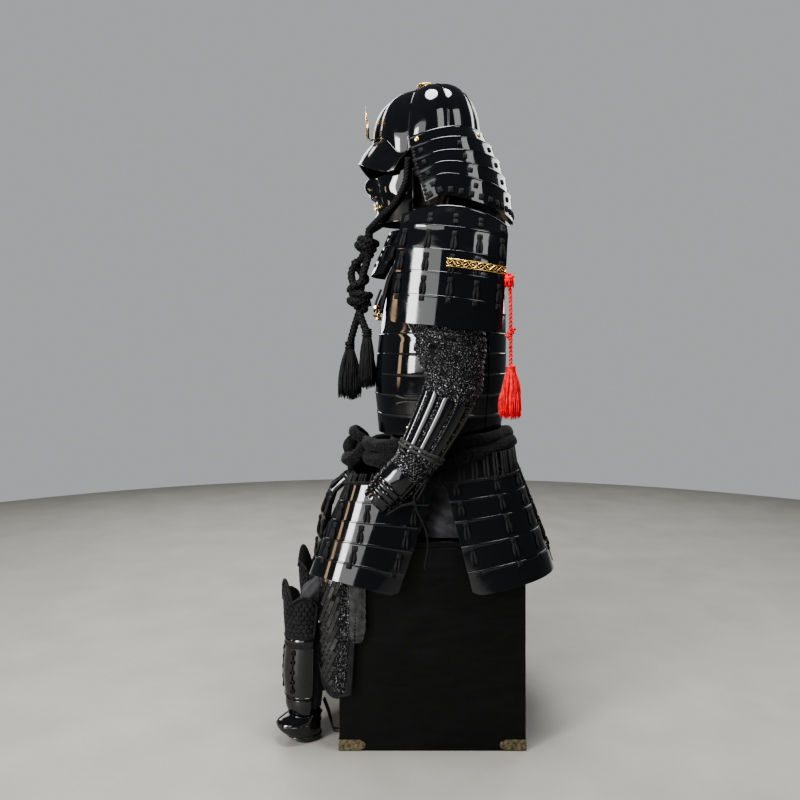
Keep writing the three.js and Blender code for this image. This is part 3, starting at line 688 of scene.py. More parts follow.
def pair_model():
    """Two fat ends of braid that spread as they run down, from 0 to -1 along Y."""
    ends = []
    for way in (-1, 1):
        line = [Vector((way * (0.2 + 0.42 * t), -t, 0.1)) for t in (0, 0.15, 0.4, 0.65, 0.85, 1)]
        ends.append(tube(line, [0.16, 0.27, 0.38, 0.46, 0.42, 0.2], 8))
    return piece_of("pair", ends, lacing_silk)


def seat(top, bottom, across, share, out=0.0):
    """The place on a plate that lies that far across and down between two of its rows."""
    last = len(top) - 1
    j = min(int(across * last), last - 1)
    f = across * last - j
    high, low = top[j].lerp(top[j + 1], f), bottom[j].lerp(bottom[j + 1], f)
    place = facing(high.lerp(low, share), top[j + 1] - top[j], high - low)
    place.translation += place.to_3x3() @ Vector((0, 0, out))
    return place


def lame_rows(top, bottom, away):
    """Rows of one lame from its rolled top edge to its plain lower edge."""
    rows, steps, roll = [], 5, 0.0009
    rolled = [(0, 0.1), (0.02, 0.8), (0.05, 1.0), (0.085, 0.5), (0.12, 0)]
    for share, out in rolled + [(0.12 + 0.88 * (i + 1) / steps, 0) for i in range(steps)]:
        rows.append([a.lerp(b, share) + away(a) * roll * out for a, b in zip(top, bottom)])
    return rows


def away_from(y):
    """The level direction out from an upright line that far behind the set's middle."""
    return lambda point: Vector((point.x, point.y - y / 1000, 0)).normalized()


neck_away = away_from(25)
NECK_LEVELS = [  # front edge, side, rear corner across and back, and rear depth and height
    ((105, -44, 1250), (107.5, 22, 1268), (88, 74), (118, 1281)),
    ((109, -42, 1222), (114, 24, 1241), (95, 88), (136, 1248)),
    ((120, -38, 1193), (124, 27, 1212), (102, 102), (153, 1215)),
    ((130, -31, 1164), (133, 29, 1187), (108, 113), (166, 1177)),
    ((140, -22, 1139), (142, 31, 1160), (114, 123), (178, 1137)),
    ((150, -13, 1104), (152, 33, 1117), (120, 132), (187, 1083)),
]


def neck_row(level, out=0.0, lift=0.0):
    edge, side, corner, (rear_y, rear_z) = NECK_LEVELS[level]
    half = [edge, side, (*corner, side[2] + (rear_z - side[2]) * 0.6)]
    line = [at(*p) for p in half] + [at(0, rear_y, rear_z)] + [at(-x, y, z) for x, y, z in reversed(half)]
    return [p + neck_away(p) * out + Vector((0, 0, lift)) for p in smooth(line, 72)]


band_rows = lame_rows(neck_row(0, 0.001), neck_row(1, 0.0, -0.001), neck_away)
band = panel("neck_guard_band_plate", band_rows, 0.0022, lacquer)
heads = [dome("rivet", seat(band_rows[0], band_rows[-1], across, 0.4, 0.0003), 0.0056, 0.0032, gold, 20)
         for across in (0.03, 0.37, 0.63, 0.97)]
mount(band, "lacquer", "neck_guard_band")
heads = join("neck_guard_rivets", heads)
mount(heads, "gold")

knots = []
for lame in range(1, 5):
    rows = lame_rows(neck_row(lame, 0.0034, 0.004), neck_row(lame + 1, 0.0, -0.001), neck_away)
    plate = panel(f"neck_guard_{lame}_plate", rows, 0.0022, lacquer)
    mount(plate, "lacquer", f"neck_guard_{lame}")
    for across in (0.04, 0.2, 0.385, 0.615, 0.8, 0.96):
        share = 0.46 if lame < 4 else 0.34
        knots.append(seat(rows[0], rows[-1], across, share, 0.0009)
                     @ Matrix.Diagonal((0.0052, 0.0058, 0.0052, 1)))
    for share in (0.2, 0.42, 0.64, 0.86):
        for across in (0.009, 0.991):
            knots.append(seat(rows[0], rows[-1], across, share, 0.0006)
                         @ Matrix.Rotation(0.5, 4, "Z") @ Matrix.Diagonal((0.0036, 0.0036, 0.004, 1)))
    if lame == 4:
        for k in range(26):
            across = 0.022 + 0.956 * k / 25
            knots.append(seat(rows[0], rows[-1], across, 0.74, 0.0009)
                         @ Matrix.Diagonal((0.0062, 0.0072, 0.0052, 1)))
lacing = copies("neck_guard_lacing", knot_model(), knots, lacing_silk)
mount(lacing, "lacing")


# Mask: one lacquered plate over the lower face, in a calm and general form: nose, level
# cheeks, closed gilt lips and a round chin, with a rolled edge.
def mask_point(across, down):
    angle = across * math.radians(88)
    jaw = 1 - 0.32 * down ** 2
    front = 88 * (1 - 0.1 * down) * max(0, math.cos(angle)) ** 0.85
    away = abs(across)
    ridge = bump(across, 0, 0.13)
    nose = 26 * ridge * max(0, math.sin(math.pi * min(down / 0.52, 1))) ** 0.8
    wings = 9 * bump(away, 0.14, 0.06) * bump(down, 0.42, 0.07)
    lips = 7 * bump(across, 0, 0.26) * bump(down, 0.64, 0.09)
    mouth = -4.5 * math.exp(-(across / 0.22) ** 4) * bump(down, 0.645, 0.014)
    chin = 9 * bump(across, 0, 0.22) * bump(down, 0.9, 0.1)
    cheek = 5 * bump(away, 0.5, 0.2) * bump(down, 0.3, 0.2)
    fold = -3 * bump(away, 0.24 + 0.2 * down, 0.035) * bump(down, 0.55, 0.2)
    top = 1178 + 16 * ridge + 12 * across ** 2
    out = nose + wings + lips + mouth + chin + cheek + fold
    return at(77 * jaw * math.sin(angle) * (1 + (cheek + fold) / 160),
              -32 - front - out, top + (1082 - top) * down)


mask_rows = [[mask_point(j / 48 - 1, i / 56) for j in range(97)] for i in range(57)]
mask = panel("mask_plate", mask_rows, 0.0026, lacquer, edge=0.0006)
roll = piece_of("roll", [tube(hem(mask_rows[:-1], mask_rows[-1]), 0.0016, 6)], lacquer)
mask = join("mask_plate", [mask, roll])
mount(mask, "lacquer", "mask")
lips = []
for down, radius, bend in ((0.605, 0.0032, 0.03), (0.69, 0.0036, -0.03)):
    line = [mask_point(a / 20 * 0.3, down + bend * (a / 20) ** 2) for a in range(-20, 21)]
    radii = [radius * max(0.25, math.cos(math.pi / 2 * a / 20.5)) ** 0.6 for a in range(-20, 21)]
    lips.append(tube([p + Vector((0, 0.0008, 0)) for p in line], radii, 10))
lips = piece_of("mask_lips", lips, gold)
mount(lips, "gold")


# Throat guard: three small curved lames of lacquered iron, hung one below the other under the
# mask on knots and spread pairs of black braid.
def stepped(rows, lame, count, away):
    """A level moved out to where that lame stands."""
    step = 0.0026
    return [p + away(p) * (lame + 1.5 - count / 2) * step for p in rows]


def laced_panel(name, lacing_name, levels, away, columns, size, share, last_share=0.14, end=0.94):
    """A panel of lames between the levels, and a piece of lacing in columns over it: a square
    knot that far down each lame, over two spread ends of braid."""
    plates, knots, pairs = [], [], []
    count, overlap = len(levels), 1.07
    for lame in range(count - 1):
        final = lame == count - 2
        top = stepped(levels[lame], lame, count, away)
        bottom = stepped(levels[lame + 1], lame, count, away)
        if not final:
            bottom = [a.lerp(b, overlap) for a, b in zip(top, bottom)]
        rows = lame_rows(top, bottom, away)
        plates.append(panel("lame", rows, 0.0018, lacquer))
        height = sum((b - a).length for a, b in zip(top, bottom)) / len(top)
        for across in columns:
            knots.append(seat(top, bottom, across, last_share if final else share, 0.0012)
                         @ Matrix.Diagonal((size, size, size, 1)))
            if not final:
                start = share + 0.8 * size / height
                pairs.append(seat(top, bottom, across, start, 0.0016)
                             @ Matrix.Diagonal((size * 1.25, height * (end - start), size * 1.1, 1)))
    threads = [copies("knots", knot_model(), knots, lacing_silk),
               copies("pairs", pair_model(), pairs, lacing_silk)]
    return join(name, plates), join(lacing_name, threads)


bib = []
for z, r, reach in ((1064, 54, 62), (1030, 66, 58), (998, 78, 52), (967, 92, 46)):
    turns = [math.radians(reach) * (j / 20 - 1) for j in range(41)]
    bib.append([at(r * math.sin(turn), -34 - r * math.cos(turn), z) for turn in turns])
lames, threads = laced_panel("throat_guard_lames", "throat_guard_lacing", bib, away_from(-34),
                             [0.04, 0.22, 0.41, 0.59, 0.78, 0.96], 0.0044, 0.3, last_share=0.3)
mount(lames, "lacquer", "throat_guard")
mount(threads, "lacing")


# Cuirass: two shells of riveted horizontal lames in gloss lacquer, tied at the left side. Each
# lame overlaps the next by a thin step, and the armholes have a rolled rim.
def boxy(value, power):
    """A sine or cosine bent towards a square's sides; a power of 2 leaves it round."""
    return math.copysign(abs(value) ** (2 / power), value)


MIDDLE = 24  # how far the middle of the body is behind the middle of the chest
body_away = away_from(MIDDLE)


def hull_point(z, angle, half, front, rear):
    s, c = math.sin(angle), math.cos(angle)
    reach = MIDDLE - front if c > 0 else rear - MIDDLE
    return at(half * boxy(s, 2.4), MIDDLE - reach * boxy(c, 2.4), z)


HULL = [  # height, half width, front, rear, and how far the two shells reach round
    (625, 150, -112, 156, 126, 53), (668, 151, -115, 161, 126, 53), (710, 154, -119, 166, 126, 53),
    (752, 157, -119, 168, 126, 53), (795, 159, -115, 168, 126, 53), (822, 159, -112, 168, 124, 53),
    (837, 159, -110, 168, 66, 52), (880, 156, -103, 167, 52, 50), (922, 150, -97, 165, 46, 48),
    (947, 146, -92, 163, 44, 46), (1000, 136, -92, 156, 0, 40),
]


def sizes_at(z, levels):
    """The sizes at a height, between levels that each start with their own height."""
    for low, high in zip(levels, levels[1:]):
        if z <= high[0]:
            t = (z - low[0]) / (high[0] - low[0])
            return [a + (b - a) * t for a, b in zip(low, high)]
    return levels[-1]


def hull_row(z, part, out):
    """Points round one shell at a height, that far out of the hull."""
    count = 72
    half, front, rear, front_reach, back_reach = sizes_at(z, HULL)[1:]
    reach, centre = (front_reach, 0) if part == "front" else (back_reach, math.pi)
    angles = [centre + math.radians(reach) * (2 * j / count - 1) for j in range(count + 1)]
    row = [hull_point(z, angle, half, front, rear) for angle in angles]
    return [p + body_away(p) * out for p in row]


def shell(part, joints):
    """One shell of lames between the given heights, each a little outside the one below."""
    plates = []
    for low, high in zip(joints, joints[1:]):
        steps = [0, 0.03, 0.08] + [0.08 + 0.92 * (i + 1) / 9 for i in range(9)]
        outs = [0.0010, 0.0016, 0.0008] + [0.0008 * (1 - (i + 1) / 9) for i in range(9)]
        deep = high - low + 1.2
        rows = [hull_row(high - deep * t, part, out) for t, out in zip(steps, outs)]
        plates.append(panel("lame", rows, 0.0018, lacquer, edge=0.0004))
    return plates


front_plates = shell("front", [625.5, 668, 710, 752, 795, 836])
breast_levels = (947, 940, 930, 922, 908, 895, 880, 866, 852, 843, 838, 834)
breast_rows = [hull_row(z, "front", 0.0002) for z in breast_levels]
front_plates.append(panel("breast", breast_rows, 0.0018, lacquer, edge=0.0004))
rolls = [tube(hem(breast_rows[::-1], breast_rows[0]), 0.0017, 6)]
top_lame = hull_row(836, "front", 0.0008)
for end, on_left in ((0, False), (-1, True)):
    foot = breast_rows[-1][end]
    line = [p for p in top_lame if (p.x > foot.x) == on_left and p.y > foot.y and (p.x > 0) == on_left]
    if len(line) > 2:
        rolls.append(tube(line, 0.0016, 6))
front_plates.append(piece_of("roll", rolls, lacquer))
piece = join("cuirass_front_lames", front_plates)
mount(piece, "lacquer", "cuirass_front")

back_plates = shell("back", [625.5, 668, 710, 752, 795, 837, 880, 922, 960, 999])
edge_line = [hull_row(z, "back", 0.0008)[0] for z in range(800, 1000, 12)]
edge_line += hull_row(999, "back", 0.0008)
edge_line += [hull_row(z, "back", 0.0008)[-1] for z in range(992, 800, -12)]
back_plates.append(piece_of("roll", [tube(edge_line, 0.0016, 6)], lacquer))
piece = join("cuirass_back_lames", back_plates)
mount(piece, "lacquer", "cuirass_back")

# Cuirass fittings: two short grey cords that tie the left side at the waist, and small gilt studs.
ties, studs = [], []
for z in (694, 702):
    route = [hull_point(z, math.radians(turn), 155, -118, 164) for turn in (52, 60, 68, 76)]
    route = [p + body_away(p) * 0.0032 for p in route]
    ties.append(tube(smooth([route[0] + at(0, 0, (z - 698) * 1.2), *route[1:]], 20), 0.0019, 8))
for z, turn in ((641, 62), (641, -62), (888, 38), (888, -38)):
    point = hull_point(z, math.radians(turn), *sizes_at(z, HULL)[1:4])
    out = body_away(point)
    place = facing(point + out * 0.0014, Vector((0, 0, 1)).cross(out), Vector((0, 0, 1)))
    studs.append(dome("stud", place, 0.0042, 0.003, gold))
tie_grey = silk("grey cord", (0.016, 0.016, 0.016), (0.045, 0.045, 0.045), 0.75, 0.1)
ties = piece_of("cuirass_tie_ends", ties, tie_grey)
mount(ties, "lacing")
studs = join("cuirass_studs", studs)
mount(studs, "gold")


# Shoulder straps: padded cloth bands edged with piping, over each shoulder from the back to a
# gilt two-part toggle and its cord loop on the breast.
def pair_up(piece, slot, node=None):
    """Mounts a left-hand piece and a mirrored right-hand one; node is its CAD node without side."""
    name = piece.name.replace("_left", "_right")
    twin = bpy.data.objects.new(name, piece.data.copy())
    bpy.context.scene.collection.objects.link(twin)
    twin.data.transform(Matrix.Diagonal((-1, 1, 1, 1)))
    twin.data.flip_normals()
    twin.data.name = name
    mount(piece, slot, node and f"{node}_left")
    mount(twin, slot, node and f"{node}_right")


cloth = dyed("black cotton", (0.004, 0.004, 0.0045), (0.013, 0.013, 0.0142), 0.85, 0.1)
relief(cloth, pattern(cloth, "Voronoi", 900, Randomness=0.3), 0.35, 0.0004)
over_shoulder = smooth([at(80, 148, 1004), at(90, 100, 1050), at(96, 30, 1062), at(92, -40, 1024),
                        at(82, -78, 970), at(77, -91, 938), at(75, -103, 888)], 40)
STRAP_HALF, STRAP_CROWN = 23, 3
section = [at(side * STRAP_HALF, 0, STRAP_CROWN * (1 - side * side))
           for side in (-1, -0.9, -0.5, 0, 0.5, 0.9, 1)]
rows = [[p + offset for offset in section] for p in reversed(over_shoulder)]
strap = panel("strap", rows, 0.0056, cloth, edge=0.0016)
piping = [tube([row[k] - at(0, 0, 2) for row in rows], 0.0022, 6) for k in (0, -1)]
strap = join("shoulder_strap_left_pad", [strap, piece_of("piping", piping, lacing_silk)])
pair_up(strap, "cloth", "shoulder_strap")
toggles = []
for z, turn in ((892, -20), (876, 20)):
    bpy.ops.object.select_all(action="DESELECT")
    bpy.ops.mesh.primitive_cylinder_add(vertices=20, radius=0.0046, depth=0.026, location=at(76, -114, z),
                                        rotation=(0, math.radians(90), math.radians(turn)))
    settle()
    toggle = named("toggle", gold)
    modify(toggle, "BEVEL", width=0.0018, segments=3, limit_method="ANGLE", angle_limit=0.7)
    toggle.data.shade_smooth()
    toggles.append(toggle)
pair_up(join("toggle_left", toggles), "gold")
loop = smooth([at(70, -106, 930), at(69, -116, 904), at(72, -119, 886), at(80, -119, 886),
               at(83, -115, 904), at(82, -105, 930)], 30)
pair_up(piece_of("toggle_loop_left", [tube(loop, 0.0024, 7)], black_silk), "lacing")


# Shoulder guards: a crown plate and four lacquered lames, bowed round the arm and hung on knots
# and spread pairs of black braid in five columns. The last lame has rounded corners.
GUARD_PLACE = Matrix.Translation(at(262, 32, 950)) @ Matrix.Rotation(math.radians(-6), 4, "X")
GUARD_HALF, GUARD_BOW = 106, 165


def guard_point(y, z, out):
    """A point on a shoulder guard: y across it and z up it, out from its bowed face."""
    return GUARD_PLACE @ at(math.sqrt(GUARD_BOW ** 2 - y ** 2) - GUARD_BOW + out, y, z)


def guard_row(level, out=0, drop=0):
    """The points along one level of the guard, from the crown's top edge, 0, to the foot, 5."""
    count = 64
    heights, leans = (131, 89, 42, -2, -48, -106), (-34, -14, -5, 0, 2, 3)
    row = []
    for j in range(count + 1):
        across = 2 * j / count - 1
        y = across * GUARD_HALF * (1 + 0.01 * level)
        arch = -22 * across ** 2 if level == 0 else 0
        corner = 11 * max(0, (abs(across) - 0.88) / 0.12) ** 2.2 if level == 5 else 0
        row.append(guard_point(y, heights[level] + arch + corner - drop, leans[level] + out))
    return row


def guard_away(point):
    return Vector((1, 0, 0))


COLUMNS = [0.06, 0.27, 0.5, 0.73, 0.94]
crown_foot = [a.lerp(b, 1.06) for a, b in zip(guard_row(0), guard_row(1))]
rows = lame_rows(guard_row(0), crown_foot, guard_away)
crown = panel("shoulder_guard_crown_left_plate", rows, 0.0018, lacquer)
pair_up(crown, "lacquer", "shoulder_guard_crown")
knots = [seat(rows[0], rows[-1], across, share, 0.001) @ Matrix.Diagonal((0.0056, 0.0056, 0.0056, 1))
         for across in COLUMNS for share in (0.52, 0.78)]
crown_lacing = copies("shoulder_guard_crown_left_lacing", knot_model(), knots, lacing_silk)
pair_up(crown_lacing, "lacing")

levels = [guard_row(level, 3, 2) for level in (1, 2, 3, 4, 5)]
lames, threads = laced_panel("shoulder_guard_lames_left_plates", "shoulder_guard_lames_left_lacing", levels,
                             guard_away, COLUMNS, 0.0058, 0.31)
pair_up(lames, "lacquer", "shoulder_guard_lames")
pair_up(threads, "lacing")


# Gold bars: a strip of gilt openwork on the rear half of each shoulder guard, over a black
# backing. Two vines cross again and again between two rails, with a leaf in every opening.
def bar_point(along, z, out):
    return guard_point((-0.1 + 1.09 * along) * GUARD_HALF * 1.02, z, out)


vines = [tube([bar_point(j / 60, z, 8) for j in range(61)], 0.0011, 6) for z in (21, 7)]
for way in (1, -1):
    line = [bar_point(j / 160, 14 + way * 5.2 * math.sin(2 * math.pi * j / 40), 8.8 + 0.7 * way)
            for j in range(161)]
    vines.append(tube(line, 0.0011, 6))
backing_rows = [[bar_point(j / 40, z, 7) for j in range(41)] for z in (20.5, 14, 7.5)]
bar = [panel("backing", backing_rows, 0.001, black_silk), piece_of("vine", vines, gold)]
for k in range(8):
    place = facing(bar_point((k + 0.5) / 8, 14, 8.4), Vector((0, 1, 0)), Vector((0, 0, 1)))
    place = place @ Matrix.Rotation(0.6 * (-1) ** k, 4, "Z") @ Matrix.Diagonal((1.5, 0.7, 1, 1))
    bar.append(dome("leaf", place, 0.0021, 0.0016, gold, 8))
pair_up(join("gold_bar_left_scroll", bar), "gold", "gold_bar")


# Sleeves: padded cloth tubes faced with small iron rings, each ring linked to its neighbours,
# with a few small lacquered plates let in. The mail runs on past the elbow.
def oval(centre, half_width, half_depth, tilt=0, count=48):
    """A ring of points, anticlockwise from above, square to a limb leaning forward by tilt."""
    ring = []
    for j in range(count + 1):
        turn = 2 * math.pi * j / count
        c, s = math.cos(turn), math.sin(turn)
        ring.append(Matrix.Rotation(math.radians(-tilt), 3, "X") @ at(half_width * c, half_depth * s, 0)
                    + at(*centre))
    ring[-1] = ring[0].copy()
    return ring


def swollen(rows, out):
    """The same rows, each point moved outwards from its row's centre by out(row, point)."""
    moved = []
    for i, row in enumerate(rows):
        centre = sum(row, Vector()) / len(row)
        moved.append([p + (p - centre).normalized() * out(i, j) for j, p in enumerate(row)])
    return moved


mail_steel = new_finish("blackened mail", (0.2, 0.2, 0.21), 0.28, 0.9)
wear = pattern(mail_steel, "Noise", 300, Detail=3.0)
tint(mail_steel, wear, (0.005, 0.005, 0.0055), (0.4, 0.4, 0.42), 0.5, 0.64)


def ring_model():
    bpy.ops.object.select_all(action="DESELECT")
    bpy.ops.mesh.primitive_torus_add(major_segments=7, minor_segments=3,
                                     major_radius=0.0029, minor_radius=0.00064)
    return named("ring", mail_steel)


def mail_places(rows, pitch, first=0.0, out=0.0008, spare=None):
    """Places for mail rings all over a wall, each row half a ring on, tipped this way and that."""
    places = []
    heights = [0]
    for a, b in zip(rows, rows[1:]):
        heights.append(heights[-1] + (b[0] - a[0]).length)
    line, z = 0, first * heights[-1]
    while z <= heights[-1]:
        k = max(i for i, h in enumerate(heights[:-1]) if h <= z + 1e-9)
        share = (z - heights[k]) / (heights[k + 1] - heights[k])
        around = [a.lerp(b, share) for a, b in zip(rows[k], rows[k + 1])]
        count = max(3, round(run_length(around) / pitch))
        for n in range(count):
            across = ((n + 0.5 * (line % 2)) / count) % 1.0
            place = seat(rows[k], rows[k + 1], across, share, out)
            if spare and spare(place.translation):
                continue
            tip = Matrix.Rotation(math.radians(24 if line % 2 else -24), 4, "X")
            lean, spin = dice.uniform(-0.25, 0.25), dice.uniform(0, 3)
            places.append(place @ tip @ Matrix.Rotation(lean, 4, "Y") @ Matrix.Rotation(spin, 4, "Z"))
        line += 1
        z += pitch * 0.82
    return places


sleeve_rings = [oval((200, 25, 990), 34, 52), oval((208, 28, 920), 40, 66), oval((211, 30, 840), 42, 70),
                oval((212, 35, 786), 42, 67, 6), oval((214, 38, 738), 41, 58, 18)]
sleeve_rows = loft(sleeve_rings, 44)


def sleeve_fold(i, j):
    turn = 2 * math.pi * j / 48
    inner = max(0, -math.sin(turn)) ** 1.5 * max(0, 1 - abs(i - 33) / 12)
    wave = 0.0014 * math.sin(3 * turn + i * 0.35) + 0.001 * math.sin(5 * turn - i * 0.6)
    return wave + 0.0034 * inner * (math.sin(i * 0.95 + 1.2 * math.cos(turn)) - 0.5)


sleeve_rows = swollen(sleeve_rows, sleeve_fold)
elbow_rings = [sleeve_rows[-1], oval((216, 35, 724), 42, 53.5, 22), oval((217, 29, 708), 41, 51.5, 25)]
elbow_rows = loft(elbow_rings, 10)
sleeve = join("sleeve_left_cloth", [panel("sleeve", sleeve_rows, 0.0018, cloth, ring=True, edge=0),
                                    panel("elbow", elbow_rows, 0.0014, cloth, ring=True, edge=0)])
pair_up(sleeve, "cloth", "sleeve")
def lozenge(half_end, half_middle, half_height):
    """A six-sided outline, wider or narrower at its middle than at its ends."""
    return [(-half_end, -half_height), (half_end, -half_height), (half_middle, 0),
            (half_end, half_height), (-half_end, half_height), (-half_middle, 0)]


patch_spots = [at(252, -4, 806), at(253, 34, 842), at(253, 14, 844), at(251, -6, 845)]
SLEEVE_PITCH = 0.0064
places = mail_places(sleeve_rows, SLEEVE_PITCH, first=0.38,
                     spare=lambda p: (p - patch_spots[0]).length < 0.010)
places += mail_places(elbow_rows, SLEEVE_PITCH)
pair_up(copies("sleeve_left_mail", ring_model(), places, mail_steel), "mail")
patches = []
for spot in patch_spots:
    patch = cutout("patch", lozenge(0.006, 0.0078, 0.0045), 0.0012, lacquer)
    patch.data.transform(facing(spot + at(0.6, 0, 0), Vector((0, 1, 0)), Vector((0, 0, 1))))
    patches.append(patch)
pair_up(join("sleeve_left_plates", patches), "lacquer")


# Forearms: nine long ribbed splints of lacquered iron on a cloth sleeve, with a row of mail
# between each two, a mail cuff, and a doubled grey cord round the wrist.
forearm_rings = [oval((216, 35, 722), 40, 51, 22), oval((219, 13, 672), 37, 48, 27),
                 oval((223, -16, 616), 32, 42, 27), oval((224, -31, 588), 30, 40, 27)]
forearm_rows = loft(forearm_rings, 32)
base = panel("forearm_left_cloth", swollen(forearm_rows, lambda i, j: -0.0012), 0.0016, cloth,
             ring=True, edge=0)


def forearm_point(down, turn, out):
    """A point on the forearm; down is 0 to 1 and turn in degrees, 0 at its outer side."""
    steps, around = len(forearm_rows) - 1, len(forearm_rows[0]) - 1
    i = min(int(down * steps), steps - 1)
    f = down * steps - i
    j = (turn % 360) / 360 * around
    k, g = int(j) % around, j - int(j)
    p, centre = [], []
    for row in forearm_rows[i:i + 2]:
        p.append(row[k].lerp(row[k + 1], g))
        centre.append(sum(row[:-1], Vector()) / around)
    p = p[0].lerp(p[1], f)
    return p + (p - centre[0].lerp(centre[1], f)).normalized() * out


SPLINTS, SPLINT_REACH, SPLINT_HALF = 9, 140, 13.6
splints, links = [], []
for k in range(SPLINTS):
    middle = SPLINT_REACH * (2 * k / (SPLINTS - 1) - 1)
    rows = []
    for i in range(25):
        half = SPLINT_HALF * min(1, min(i, 24 - i) / 1.6 + 0.55)
        rows.append([forearm_point(0.1 + 0.86 * i / 24, middle + half * side,
                                   0.0006 + 0.0032 * math.cos(side * math.pi / 2) ** 0.7)
                     for side in (-1, -0.85, -0.6, -0.3, 0, 0.3, 0.6, 0.85, 1)])
    splints.append(panel("splint", rows, 0.0009, lacquer, edge=0.0002, sharp=60))
for k in range(SPLINTS + 1):
    turn = SPLINT_REACH * (2 * (k - 0.5) / (SPLINTS - 1) - 1)
    for i in range(30):
        down = 0.1 + 0.85 * i / 29
        p, beside = forearm_point(down, turn, 0.0018), forearm_point(down, turn + 2, 0.0018)
        above = forearm_point(down - 0.02, turn, 0.0018)
        links.append(facing(p, beside - p, above - p) @ Matrix.Rotation(0.5 if i % 2 else -0.5, 4, "X"))
pair_up(join("forearm_left_splints", splints), "lacquer")
cuff_rows = [[forearm_point(0.9 + 0.1 * i / 3, 360 * j / 48, 0.0008) for j in range(49)] for i in range(4)]
wrist_rings = [cuff_rows[-1], oval((224, -38, 579), 31, 38.5, 36), oval((224, -47, 566), 31, 37.5, 45)]
wrist_rows = loft(wrist_rings, 8)
WRIST_PITCH = 0.0055
links += mail_places(cuff_rows, WRIST_PITCH) + mail_places(wrist_rows, WRIST_PITCH)
base = join("forearm_left_cloth", [base, panel("wrist", wrist_rows, 0.0012, cloth, ring=True, edge=0)])
pair_up(base, "cloth", "forearm")
pair_up(copies("forearm_left_mail", ring_model(), links, mail_steel), "mail")
cords = []
for down in (0.86, 0.915):
    cords += twist([forearm_point(down, 360 * j / 60, 0.0045) for j in range(61)], 0.0034, 3)
pair_up(piece_of("forearm_left_cords", cords, tie_grey), "lacing")


# Hand guards: a domed lacquered plate over the back of the hand, three rows of knuckle ridges
# towards the fingers, mail down the sides, and a cord strap under the wrist.
HAND = [((224, -44, 570), 30, 36), ((225, -66, 549), 30, 37),
        ((226, -92, 524), 27, 35), ((226, -114, 502), 21, 28)]


def hand_row(centre, half_width, half_depth, reach=105, count=44):
    row = []
    for j in range(count + 1):
        turn = math.radians(-reach + 2 * reach * j / count)
        p = at(half_width * math.cos(turn), half_depth * math.sin(turn), 0)
        row.append(Matrix.Rotation(math.radians(-45), 3, "X") @ p + at(*centre))
    return row


hand_rows = loft([hand_row(*ring) for ring in HAND], 60)
knuckles = []
for i, row in enumerate(hand_rows):
    down = i / 60
    centre = (row[0] + row[-1]) / 2
    moved = []
    for j, p in enumerate(row):
        across = abs(2 * j / 44 - 1)
        ridge = sum(bump(down, spot, 0.036) for spot in (0.56, 0.69, 0.82))
        split = abs(math.sin(math.pi * j / 44 * 7)) ** 0.35
        lift = 0.0034 * ridge * split if across < 0.66 else 0
        crown = 0.002 * math.sin(math.pi * min(1, down / 0.5)) * max(0, 1 - across / 0.7)
        moved.append(p + (p - centre).normalized() * (lift + crown - 0.001))
    knuckles.append(moved)
plate = panel("hand_guard_left_plate", knuckles, 0.0018, lacquer, edge=0.0005, sharp=50)
roll = piece_of("roll", [tube(hem(knuckles, knuckles[-1]), 0.0016, 6)], lacquer)
pair_up(join("hand_guard_left_plate", [plate, roll]), "lacquer", "hand_guard")
side_mail = []
for i in range(4, 60, 3):
    for j in (1, 3, 5, 7, 37, 39, 41, 43):
        p = knuckles[i][j]
        place = facing(p, knuckles[i][j + 1] - p, knuckles[i - 1][j] - p)
        place.translation += place.to_3x3() @ Vector((0, 0, 0.0012))
        side_mail.append(place @ Matrix.Rotation(0.5 if (i + j) % 2 else -0.5, 4, "X"))
wrist_edge = [[p.lerp(q, t) for p, q in zip(knuckles[0], knuckles[10])] for t in (0, 0.5, 1)]
side_mail += mail_places(wrist_edge, WRIST_PITCH, out=0.0016)
pair_up(copies("hand_guard_left_mail", ring_model(), side_mail, mail_steel), "mail")
under_hand = [at(252, -12, 552), at(254, -34, 512), at(247, -62, 500), at(238, -90, 482)]
to_wrist_cord = [at(254, -14, 552), at(257, -36, 524), at(259, -38, 514)]
strap = twist(smooth(under_hand, 40), 0.003, 3) + twist(smooth(to_wrist_cord, 20), 0.0022)
pair_up(piece_of("hand_guard_left_strap", strap, black_silk), "lacing")


# Sash: a long tube of ribbed crepe, lightly stuffed, wound twice round the waist and tied in
# front in a loose bow of one loop, one fat turn and a short end.
crepe = dyed("black crepe", (0.003, 0.003, 0.0035), (0.012, 0.012, 0.013), 0.85, 0.04)
# The crepe's colour follows its ribs: darker in the sunken hollows and lighter on the raised tops, which is
# painted shade. This colour takes the place of the uneven dye.
weave = pattern(crepe, "Voronoi", 230, (1, 1, 1.3), Randomness=0.55)
tint(crepe, weave, (0.026, 0.026, 0.028), (0.001, 0.001, 0.0012), 0.08, 0.42)
relief(crepe, weave, 0.9, -0.0025)


def waist_point(angle, out, up):
    rear = (1 - math.cos(angle)) / 2
    p = hull_point(582 + 24 * rear ** 1.5, angle, 169, -134, 171)
    return p + body_away(p) * out + Vector((0, 0, up))


def roll_tube(path, radii, ribs):
    """A soft roll of cloth: a tube with creases running round and along it."""
    sides = 20
    corners, faces = tube(path, radii, sides)
    for i, point in enumerate(path):
        for k in range(sides):
            n = i * sides + k
            turn = 2 * math.pi * k / sides
            crease = 0.05 * math.sin(5 * turn + i * 0.24) + 0.045 * math.sin(3 * turn - i * 0.33)
            rib = ribs * math.sin(i * 1.9 + math.sin(turn) * 1.6)
            corners[n] = point + (corners[n] - point) * (1 + crease + rib)
    return corners, faces


